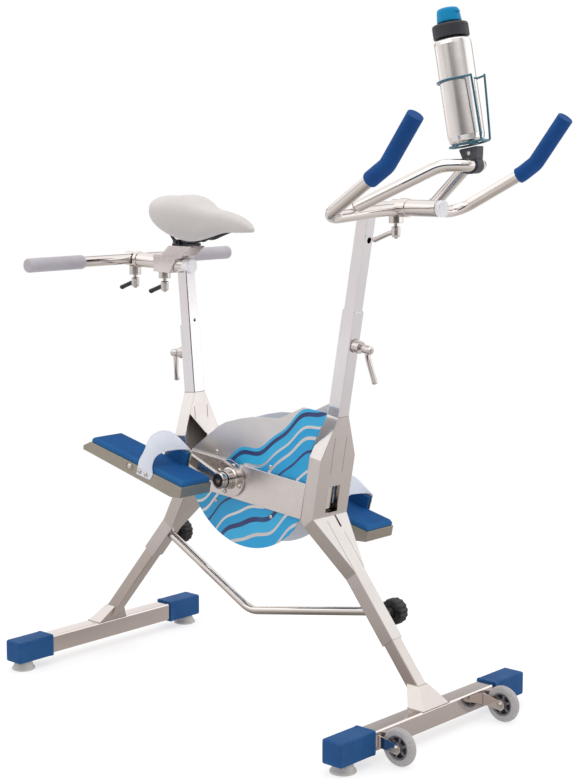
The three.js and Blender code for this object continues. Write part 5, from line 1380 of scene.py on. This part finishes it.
zc = TOP_Z + 0.3
rails = []
for s in (-1, 1):
    pts = rounded([(264, s * 36, 1101), (284, s * 24, zc + 12), (340, s * 20, zc + 12), (446, s * 5, 1096)], 14, 6)
    rails.append((tube(pts, 3.5, 16, None, 0.6), 0))
rails += [
    (box(276, 326, -24, 24, zc, zc + 6, 1.2), 1),
    (box(278, 324, -24, 24, zc + 6.6, zc + 13, 1.6), 1),
    (tube([V(301, -31, zc + 9), V(301, 31, zc + 9)], 4, 24), 1),
    (hexa(V(301, 26, zc + 9), (0, 1, 0), 6.6, 5, 0.6), 1),
    (lathe(prof([(0, 0), (7, 0), (7, 4), (5.6, 5), (0, 5)], 0.6, 2), V(301, -26, zc + 9), (0, -1, 0), 32), 1),
    (box(434, 449, -8, 8, 1091.5, 1098.5, 1.5), 0),
    (box(259, 272, -41, 41, 1095.5, 1104.5, 2), 0),
]
make("saddle_rails_and_clamp_steel", rails, [saddle_base, steel_dark], "saddle_assembly", "saddle_rails_and_clamp")

ST = [(243, 30, 1146, 1124), (247, 56, 1155, 1111), (257, 80, 1161, 1096), (278, 92, 1164, 1078), (308, 91, 1163, 1062), (338, 76, 1154, 1053),
      (368, 56, 1142, 1055), (400, 40, 1133, 1065), (440, 28, 1126, 1077), (480, 21, 1115, 1079), (504, 15, 1103, 1080), (516, 7, 1091, 1082)]


def station(x, k):
    """value k of the saddle's stations, smooth between them"""
    for i in range(len(ST) - 1):
        if x <= ST[i + 1][0] or i == len(ST) - 2:
            x0, x1 = ST[i][0], ST[i + 1][0]
            t = (x - x0) / (x1 - x0)
            def slope(j):
                a, b = ST[max(0, j - 1)], ST[min(len(ST) - 1, j + 1)]
                return (b[k] - a[k]) / (b[0] - a[0])
            m0, m1 = slope(i) * (x1 - x0), slope(i + 1) * (x1 - x0)
            t2, t3 = t * t, t ** 3
            return (2 * t3 - 3 * t2 + 1) * ST[i][k] + (t3 - 2 * t2 + t) * m0 + (-2 * t3 + 3 * t2) * ST[i + 1][k] + (t3 - t2) * m1


def power(v, e):
    return math.copysign(abs(v) ** e, v)


rings, low_rings = [], []
xs = [243 + 6 * (1 - math.cos(math.pi / 2 * i / 5)) for i in range(5)] + [249 + (508 - 249) * i / 56 for i in range(57)] + [508 + 8 * math.sin(math.pi / 2 * i / 6) for i in range(1, 7)]
for x in xs:
    w, tz, bz_ = station(x, 1), station(x, 2), station(x, 3)
    e = min(1, (x - 243) / 22, (516 - x) / 40)
    ring = []
    zm = bz_ + (tz - bz_) * 0.5
    N = 44
    # outer skin from the lower right lip over the top to the lower left lip
    for i in range(N + 1):
        t = rad(-62 + (180 + 124) * i / N)
        y = w * power(math.cos(t), 0.75)
        z = zm + ((tz - zm) if math.sin(t) >= 0 else (zm - bz_)) * power(math.sin(t), 0.85)
        # the two sitting wings with a shallow valley between, fading towards the nose
        if math.sin(t) > 0:
            valley = 5.0 * max(0, min(1, (345 - x) / 70)) * math.exp(-(y / 22) ** 2) * min(1, (x - 243) / 30)
            z -= valley * math.sin(t)
        ring.append((y, z))
    y1_, z1_ = ring[0]
    # rolled lip, then the hollow underside
    depth = max(0.0, e) * max(2.0, (tz - bz_) - 30)
    yi, zi = abs(y1_), z1_
    lip = [(-yi * 0.86, zi - 1.6 * e), (-yi * 0.74, zi - 0.6 * e), (-yi * 0.66, zi + 2.5 * e), (-yi * 0.62, zi + depth * 0.35), (-yi * 0.52, zi + depth * 0.62), (-yi * 0.3, zi + depth * 0.74), (0, zi + depth * 0.78)]
    lip += [(-a, b) for a, b in lip[:-1][::-1]]
    ring += lip
    rings.append([V(x, a, b) for a, b in ring])
skin = loft(rings)
sad = make("saddle_cover_moulded", [(skin, 0)], [saddle_skin, saddle_base], "saddle_assembly", "saddle", 60, weighted=False)
n_ring = 44 + 1 + 13
mesh = sad.data
for poly in mesh.polygons:
    if len(poly.vertices) == 4:
        js = [v % n_ring for v in poly.vertices]
        if all(46 <= j <= n_ring for j in js) and min(js) >= 46:
            poly.material_index = 1
sub = sad.modifiers.new("smooth", "SUBSURF")
sub.levels = sub.render_levels = 1

# ------------------------------------------------------------------ handlebar post
post = sqtube(fp, FP_REF, tat(fp, FP_REF, 742), tat(fp, FP_REF, 1140), INN, 2.8, INN_BORE, 0.8)
h0, h1 = on(FP_REF, fp, tat(fp, FP_REF, 1079), INN / 2 - 6), on(FP_REF, fp, tat(fp, FP_REF, 1079), INN / 2 + 6)
post = boolean(post, [tube([V(h0[0], 2, h0[1]), V(h1[0], 2, h1[1])], 7, 36)])
make("handlebar_post_and_slide_welded", [
    (post, 0),
    (tube([V(843, 0, REC_Z), V(1014, 0, REC_Z)], 12.5, 44, 10.6, 0.7), 1),
    (tube([V(838, 0, REC_Z), V(884, 0, REC_Z)], 17.5, 52, None, 1.4), 1),
    (bead(ring_path(V(884.3, 0, REC_Z), (1, 0, 0), 12.8), 1.0), 2),
    (bead(ring_path(p3(on(FP_REF, fp, tat(fp, FP_REF, 1133))), V(fp[0], 0, fp[1]), 15.8), 1.3), 2),
], [steel_z, steel_tube, weld], "handlebar_post", "handlebar_post_and_slide")


# ------------------------------------------------------------------ handlebar
def bar_path(s):
    return [(925, s * 226, 1131), (1080, s * 256, 1219), (1113, s * 255.5, 1241), (1182, s * 258.8, 1334)]


def hoop_path(steps=8):
    return rounded([(930, -135, 1151), (1086, -48, 1239), (1136, -27, 1240), (1136, 27, 1240), (1086, 48, 1239), (930, 135, 1151)], [90, 20, 20, 90], steps)


bars = rounded(bar_path(-1)[::-1] + [(944, 0, 1149)] + bar_path(1), [42, 60, 48, 900, 48, 60, 42], 10)
hoop = hoop_path()
make("handlebar_bent_tubes", [
    (tube(bars, 13, 40, 11.2, 0.7), 0),
    (tube(hoop, 13, 40, 11.2, 0.6), 0),
    (tube([V(925, 0, REC_Z), V(1051, 0, REC_Z)], 17.5, 56, 12.9, 1.0), 0),
    (lathe(prof([(17.2, 0), (20, 0), (20, 20), (17.2, 20)], 1.2, 3, True), V(948, 0, REC_Z), (1, 0, 0), 56, True), 0),
    (boss(V(934, 0, REC_Z - 14), V(0, 0, -1), 15.5, 19, 5.3, 0), 1),
    (lathe(prof([(0, 0), (12.8, 0), (12.8, -6), (16.6, -6), (17.4, -5.4), (17.5, -4.2), (17.5, 9.2), (16.4, 10.6), (0, 10.8)], 0.8, 4), V(1050.6, 0, REC_Z), (1, 0, 0), 56), 2),
    (bead(ring_path(V(934, 0, REC_Z - 17), (0, 0, 1), 15.7), 1.2), 3),
    (bead(ring_path(hoop[0] + (hoop[1] - hoop[0]).normalized() * 3, hoop[1] - hoop[0], 13.2), 1.3), 3),
    (bead(ring_path(hoop[-1] + (hoop[-2] - hoop[-1]).normalized() * 3, hoop[-2] - hoop[-1], 13.2), 1.3), 3),
], [steel_tube, steel_fit, white_plug, weld], "handlebar_assembly", "handlebar")
for tag, s in (("right", -1), ("left", 1)):
    c0, g0, g1, g2 = [Vector(p) for p in bar_path(s)]
    e, d0 = (g2 - g1).normalized(), (g0 - c0).normalized()
    start = g0 - d0 * 12
    path = rounded([start, g0, g1, g2 + e * 5], [20, 42], 10)
    L = [0]
    for i in range(1, len(path)):
        L.append(L[-1] + (path[i] - path[i - 1]).length)
    m = 64
    dense, j = [], 0
    for i in range(m + 1):
        t = L[-1] * i / m
        while j < len(L) - 2 and L[j + 1] < t:
            j += 1
        dense.append(path[j].lerp(path[j + 1], (t - L[j]) / max(1e-9, L[j + 1] - L[j])))
    lead = [dense[0].lerp(dense[1], q) for q in (0.0, 0.12, 0.4)]
    tail = [dense[-2].lerp(dense[-1], q) for q in (0.2, 0.6, 0.85, 0.97, 1.0)]
    pts = lead + dense[1:-1] + tail
    k = [0.84, 0.93, 0.985] + [1 - 0.008 * math.sin(math.pi * i / m) for i in range(1, m)] + [1.0, 0.985, 0.93, 0.84, 0.74]
    g = make(f"handlebar_grip_{tag}_foam", [(sweep(pts, circle(17.4, 48), None, None, k), 0)], [foam_grip_blue], "handlebar_assembly", f"handlebar_grip_{tag}", 55)

# ------------------------------------------------------------------ bottle clamp, cage, bottle
BASE, TIP = V(1117, 0, 1286), V(1073, 0, 1504)
AX = (TIP - BASE).normalized()
YV = V(0, 1, 0)
FW = YV.cross(AX)


def ab(t, u=0.0, v=0.0):
    return BASE + AX * t + FW * u + YV * v


make("bottle_clamp_moulded", [
    (lathe(prof([(13.2, -11), (16.2, -11), (17.5, -9.8), (17.5, 9.8), (16.2, 11), (13.2, 11)], 0.8, 3, True), V(1136, 0, 1240), (0, 1, 0), 56, True), 0),
    (side(round2([(1114, 1251), (1149, 1251), (1150, 1279), (1104, 1271)], 3, 3), -12, 12, 1.4, 3), 0),
    (side(round2([(1112, 1224), (1127, 1221), (1129, 1240), (1114, 1240)], 2, 2), -8, 8, 0.8), 0),
    (screw(V(1130, -12, 1264), (0, -1, 0), 4.6, 2.2), 1),
    (screw(V(1130, 12, 1264), (0, 1, 0), 4.6, 2.2), 1),
    (screw(V(1119.5, -8, 1231), (0, -1, 0), 3.6, 2.0), 1),
], [clamp_dark, steel_fit], "handlebar_assembly", "bottle_clamp")

W = 2.3


def half_ring(s):
    out = []
    for i in range(0, 15):
        a = rad(180 - i * 9.2)
        out.append(ab(127, 42.5 * math.cos(a), s * 42.5 * math.sin(a)))
    return out


def upright(s):
    return [ab(127, 49.0, s * 24.5), ab(123, 50, s * 23), ab(60, 48.5, s * 19), ab(4, 46.5, s * 15.6), ab(-3.2, 45, s * 15), ab(-4.5, 40, s * 16), ab(-4.5, 20, s * 23), ab(-4.5, 0, s * 25.5), ab(-4.5, -22, s * 20), ab(-4.5, -38, s * 10)]


loop = [ab(-4.5, -40, 0)]
right, left = upright(-1)[::-1], upright(1)
ring = half_ring(-1)[::-1] + half_ring(1)[1:]
path = spline([ab(-4.5, -40.5, 0)] + right, 5)[:-1] + spline([right[-1]] + ring + [left[0]], 3)[:-1] + spline(left + [ab(-4.5, -40.5, 0)], 5)
make("bottle_cage_wire", [
    (tube(path, W, 14, None, 0.5), 0),
    (tube([ab(-4.5, 44.5, -14), ab(-4.5, 44.5, 14)], W, 14, None, 0.5), 0),
    (tube([ab(-4.5, 12, -24), ab(-4.5, 12, 24)], W, 14, None, 0.5), 0),
    (tube([ab(-4.5, -30, -16), ab(-4.5, -30, 16)], W, 14, None, 0.5), 0),
], [teal_wire], "handlebar_assembly", "bottle_cage", 60)

body_prof = prof([(0, -0.6), (24, -0.6), (26, -1.4), (31, -1.4), (36, 2), (38.3, 12), (38.3, 200), (37.2, 207), (33.5, 212), (28, 214), (28, 217.7), (26.6, 217.7), (26.6, 213), (32.5, 210.6), (35.8, 206), (36.8, 199.6), (36.8, 12.4), (34.9, 3.2), (30.4, 0.9), (0, 0.9)], 2.4, 5)
make("bottle_body_spun", [(lathe(body_prof, BASE, AX, 96), 0)], [bottle_steel], "bottle", "bottle_body", 50)


def ribs(a, r, t):
    return r - 0.25 * (0.5 + 0.5 * math.cos(60 * a)) if 219 < t < 236 and r > 36 else r


make("bottle_lid_ribbed", [
    (lathe([(0, 218), (29, 218), (29, 214.8), (35.6, 214.8), (36.8, 215.3), (37.3, 216.4), (37.3, 218), (37.3, 219.6), (37.3, 224), (37.3, 230), (37.3, 235), (37.3, 237.2), (37.1, 239.2), (36.2, 241.2), (34.6, 242.3), (31, 242.9), (21.4, 243.8), (20.6, 244.4), (20.2, 245.4), (19.6, 246), (0, 246)], BASE, AX, 180, wob=ribs), 0),
    (tube([ab(236, 36.6, -6), ab(236, 36.6, 6)], 2.0, 18, None, 0.5), 0),
], [lid_grey], "bottle_lid_body", "bottle_lid", 42)
cap_prof = [(0, 246.3), (23.6, 246.3), (24.9, 247), (25.4, 249)] + [(25.4 - 2.4 * i / 8, 249 + 20 * i / 8) for i in range(1, 8)] + [(22.9, 269.6), (22.0, 272.2), (20.0, 274.2), (17, 275.2), (12, 275.5), (0, 275.6)]
make("bottle_flip_cap_moulded", [
    (lathe(cap_prof, BASE, AX, 72), 0),
    (prism(round2([(-7, -5), (7, -5), (6, 4), (-6, 4)], 2, 3), ab(266, 22.9, 0), YV, FW, 2.6, 0.6), 0),
], [cyan_cap], "bottle_cap", "bottle_flip_cap", 42)

# ------------------------------------------------------------------ floor, light
floor = bpy.data.meshes.new("floor")
fbm = bmesh.new()
steps_ = [0.0, 0.3, 0.6, 0.9, 1.2, 1.5, 1.8, 2.1, 2.4]
rows_ = [[fbm.verts.new((0, 0, 0))]] + [[fbm.verts.new((r_ * math.cos(2 * math.pi * i / 96), r_ * math.sin(2 * math.pi * i / 96), 0)) for i in range(96)] for r_ in steps_[1:]]
for i in range(96):
    fbm.faces.new([rows_[0][0], rows_[1][i], rows_[1][(i + 1) % 96]])
    for k_ in range(1, len(rows_) - 1):
        fbm.faces.new([rows_[k_][i], rows_[k_ + 1][i], rows_[k_ + 1][(i + 1) % 96], rows_[k_][(i + 1) % 96]])
fbm.to_mesh(floor)
fbm.free()
floor_o = bpy.data.objects.new("floor", floor)
SCENE.collection.objects.link(floor_o)
fm = Mat("pale_floor")
dist_ = fm.node("ShaderNodeVectorMath", {0: fm.co}, operation="LENGTH").outputs["Value"]
fade_ = fm.node("ShaderNodeMapRange", {"Value": dist_, "From Min": 0.8, "From Max": 1.9, "To Min": 0.0, "To Max": 1.0}, interpolation_type="SMOOTHSTEP").outputs[0]
grain_ = fm.range(fm.noise(260, 3), 0.3, 0.7, 0.0, 1.0)
dif_ = fm.node("ShaderNodeBsdfDiffuse", {"Color": fm.mix(grain_, (0.42, 0.42, 0.425, 1), (0.405, 0.405, 0.41, 1))}).outputs[0]
glow_ = fm.node("ShaderNodeEmission", {"Color": (1, 1, 1, 1), "Strength": 0.63}).outputs[0]
both_ = fm.node("ShaderNodeAddShader", {0: dif_, 1: glow_}).outputs[0]
edge_ = fm.node("ShaderNodeEmission", {"Color": (1, 1, 1, 1), "Strength": 1.0}).outputs[0]
fmix_ = fm.node("ShaderNodeMixShader", {0: fade_, 1: both_, 2: edge_}).outputs[0]
fm.t.links.new(fmix_, fm.t.nodes["Material Output"].inputs[0])
floor.materials.append(fm.m)
floor_o.visible_glossy = False
# the floor as the steel mirrors it, a painted reflection: it glows with a painted shadow, dark grey round the bike,
# brighter farther out
mirror = bpy.data.meshes.new("floor_mirrored_painted_shadow")
fbm = bmesh.new()
ring_ = [fbm.verts.new((8 * math.cos(2 * math.pi * i / 96), 8 * math.sin(2 * math.pi * i / 96), -0.0006)) for i in range(96)]
fbm.faces.new(ring_)
fbm.to_mesh(mirror)
fbm.free()
mirror_o = bpy.data.objects.new("floor_mirrored_painted_shadow", mirror)
SCENE.collection.objects.link(mirror_o)
gm = Mat("floor_in_reflections_painted_shadow")
far_ = gm.node("ShaderNodeVectorMath", {0: gm.co}, operation="LENGTH").outputs["Value"]
# painted shadow: the glow is darkest under the bike and rises outward
painted_shadow_tone_ = gm.ramp(gm.math("DIVIDE", far_, 8.0), [(0.0, (0.14, 0.122, 0.112, 1)), (0.0375, (0.35, 0.318, 0.298, 1)), (0.0625, (0.46, 0.424, 0.40, 1)), (0.125, (0.60, 0.56, 0.535, 1)), (0.19, (0.69, 0.65, 0.625, 1)), (0.25, (0.76, 0.73, 0.712, 1)), (0.5, (0.85, 0.83, 0.82, 1)), (0.875, (0.95, 0.94, 0.94, 1))])
glow2_ = gm.node("ShaderNodeEmission", {"Color": painted_shadow_tone_, "Strength": 1.0}).outputs[0]
gm.t.links.new(glow2_, gm.t.nodes["Material Output"].inputs[0])
mirror.materials.append(gm.m)
mirror_o.visible_camera = mirror_o.visible_diffuse = mirror_o.visible_shadow = mirror_o.visible_transmission = mirror_o.visible_volume_scatter = False

world = bpy.data.worlds.new("studio")
SCENE.world = world
world.use_nodes = True
wt = world.node_tree
wt.nodes.clear()


def wn(kind, ins=None, **kw):
    n_ = wt.nodes.new(kind)
    for k_, v_ in kw.items():
        setattr(n_, k_, v_)
    for k_, v_ in (ins or {}).items():
        if isinstance(v_, bpy.types.NodeSocket):
            wt.links.new(v_, n_.inputs[k_])
        else:
            n_.inputs[k_].default_value = v_
    return n_


def wramp(fac, stops, mode="LINEAR"):
    r_ = wn("ShaderNodeValToRGB", {"Fac": fac})
    e_ = r_.color_ramp.elements
    r_.color_ramp.interpolation = mode
    while len(e_) < len(stops):
        e_.new(0.5)
    for i_, (p_, c_) in enumerate(stops):
        e_[i_].position = p_
        e_[i_].color = c_ if isinstance(c_, tuple) else (c_, c_, c_, 1)
    return r_.outputs[0]


tc = wn("ShaderNodeTexCoord").outputs["Generated"]
xyz = wn("ShaderNodeSeparateXYZ", {0: tc}).outputs
az = wn("ShaderNodeMath", operation="ARCTAN2")
wt.links.new(xyz[1], az.inputs[0])
wt.links.new(xyz[0], az.inputs[1])
azn = wn("ShaderNodeMapRange", {"Value": az.outputs[0], "From Min": -math.pi, "From Max": math.pi, "To Min": 0.0, "To Max": 1.0}).outputs[0]


def pz(deg):
    return (deg + 180) / 360


# round the room, half of the real strength: grey flats, soft boxes and dark gaps between
def grey(v, warm=1.0):
    return (v, v * (1 - 0.045 * warm), v * (1 - 0.065 * warm), 1)


DRK = grey(0.05)
mid_band = wramp(azn, [
    (pz(-180), grey(0.62, 0)), (pz(-170), grey(0.50)), (pz(-160), grey(0.44)), (pz(-108), grey(0.44)), (pz(-96), grey(0.34)), (pz(-84), grey(0.12)), (pz(-72), DRK), (pz(-14), DRK), (pz(-4), grey(0.2)),
    (pz(6), grey(0.75, 0)), (pz(30), grey(0.78, 0)), (pz(42), grey(0.74, 0.3)), (pz(60), grey(0.74, 0.3)), (pz(84), grey(0.6)), (pz(96), grey(0.35)), (pz(104), grey(0.16)), (pz(112), grey(0.34)),
    (pz(122), grey(0.52, 0.4)), (pz(144), grey(0.52, 0.4)), (pz(152), grey(0.36)), (pz(160), grey(0.14)), (pz(168), grey(0.5, 0.4)), (pz(180), grey(0.62, 0))])
low_band = wramp(azn, [
    (pz(-180), grey(0.42)), (pz(-150), grey(0.44)), (pz(-110), grey(0.40)), (pz(-92), grey(0.24)), (pz(-76), grey(0.14)), (pz(-20), grey(0.14)), (pz(0), grey(0.3)), (pz(20), grey(0.42)),
    (pz(80), grey(0.42)), (pz(110), grey(0.36)), (pz(150), grey(0.4)), (pz(180), grey(0.42))])
high_band = wramp(azn, [
    (pz(-180), grey(0.66, 0)), (pz(-120), grey(0.66, 0)), (pz(-104), grey(0.4)), (pz(-90), grey(0.2)), (pz(-70), grey(0.4)), (pz(-20), grey(0.46)), (pz(0), grey(0.3)), (pz(12), grey(0.16)), (pz(24), grey(0.5, 0)),
    (pz(60), grey(0.62, 0)), (pz(100), grey(0.62, 0)), (pz(116), grey(0.3)), (pz(128), grey(0.2)), (pz(140), grey(0.5)), (pz(180), grey(0.66, 0))])


def zmap(a_, b_):
    return wn("ShaderNodeMapRange", {"Value": xyz[2], "From Min": a_, "From Max": b_, "To Min": 0.0, "To Max": 1.0}, interpolation_type="SMOOTHSTEP").outputs[0]


def wmix(f_, a_, b_):
    return wn("ShaderNodeMix", {0: f_, 6: a_, 7: b_}, data_type="RGBA").outputs[2]


s1_ = wmix(zmap(-0.045, -0.10), mid_band, low_band)
s2_ = wmix(zmap(0.20, 0.34), s1_, high_band)
s3_ = wmix(zmap(0.62, 0.74), s2_, (0.56, 0.555, 0.55, 1))
s4_ = wmix(zmap(-0.55, -0.80), s3_, (0.36, 0.34, 0.33, 1))
line_ = wn("ShaderNodeMath", {0: zmap(0.045, 0.06), 1: zmap(0.115, 0.10)}, operation="MULTIPLY").outputs[0]
line2_ = wn("ShaderNodeMath", {0: line_, 1: 0.75}, operation="MULTIPLY").outputs[0]
mul = wmix(line2_, s4_, grey(0.09))
lp_ = wn("ShaderNodeLightPath").outputs["Is Camera Ray"]
white = wn("ShaderNodeBackground", {"Color": (1, 1, 1, 1), "Strength": 1.0})
room = wn("ShaderNodeBackground", {"Color": mul, "Strength": 2.0})
ms = wn("ShaderNodeMixShader")
wt.links.new(lp_, ms.inputs[0])
wt.links.new(room.outputs[0], ms.inputs[1])
wt.links.new(white.outputs[0], ms.inputs[2])
wo = wn("ShaderNodeOutputWorld")
wt.links.new(ms.outputs[0], wo.inputs[0])


def area(name, loc, target, size, power_, color=(1, 1, 1)):
    l_ = bpy.data.lights.new(name, "AREA")
    l_.shape = "RECTANGLE"
    l_.size, l_.size_y = size
    l_.energy = power_
    l_.color = color
    o_ = bpy.data.objects.new(name, l_)
    SCENE.collection.objects.link(o_)
    o_.location = loc
    o_.rotation_euler = (Vector(target) - Vector(loc)).to_track_quat("-Z", "Y").to_euler()
    return o_


area("key", (0.6, -3.6, 3.8), (0, 0, 0.7), (2.6, 2.6), 22, (1.0, 0.99, 0.98))
area("top", (0.4, 0.2, 4.4), (0, 0, 0.5), (3.0, 3.0), 26)

SCENE.view_settings.view_transform = "Standard"
SCENE.view_settings.look = "None"
SCENE.view_settings.exposure = 0.0
SCENE.view_settings.gamma = 1.0
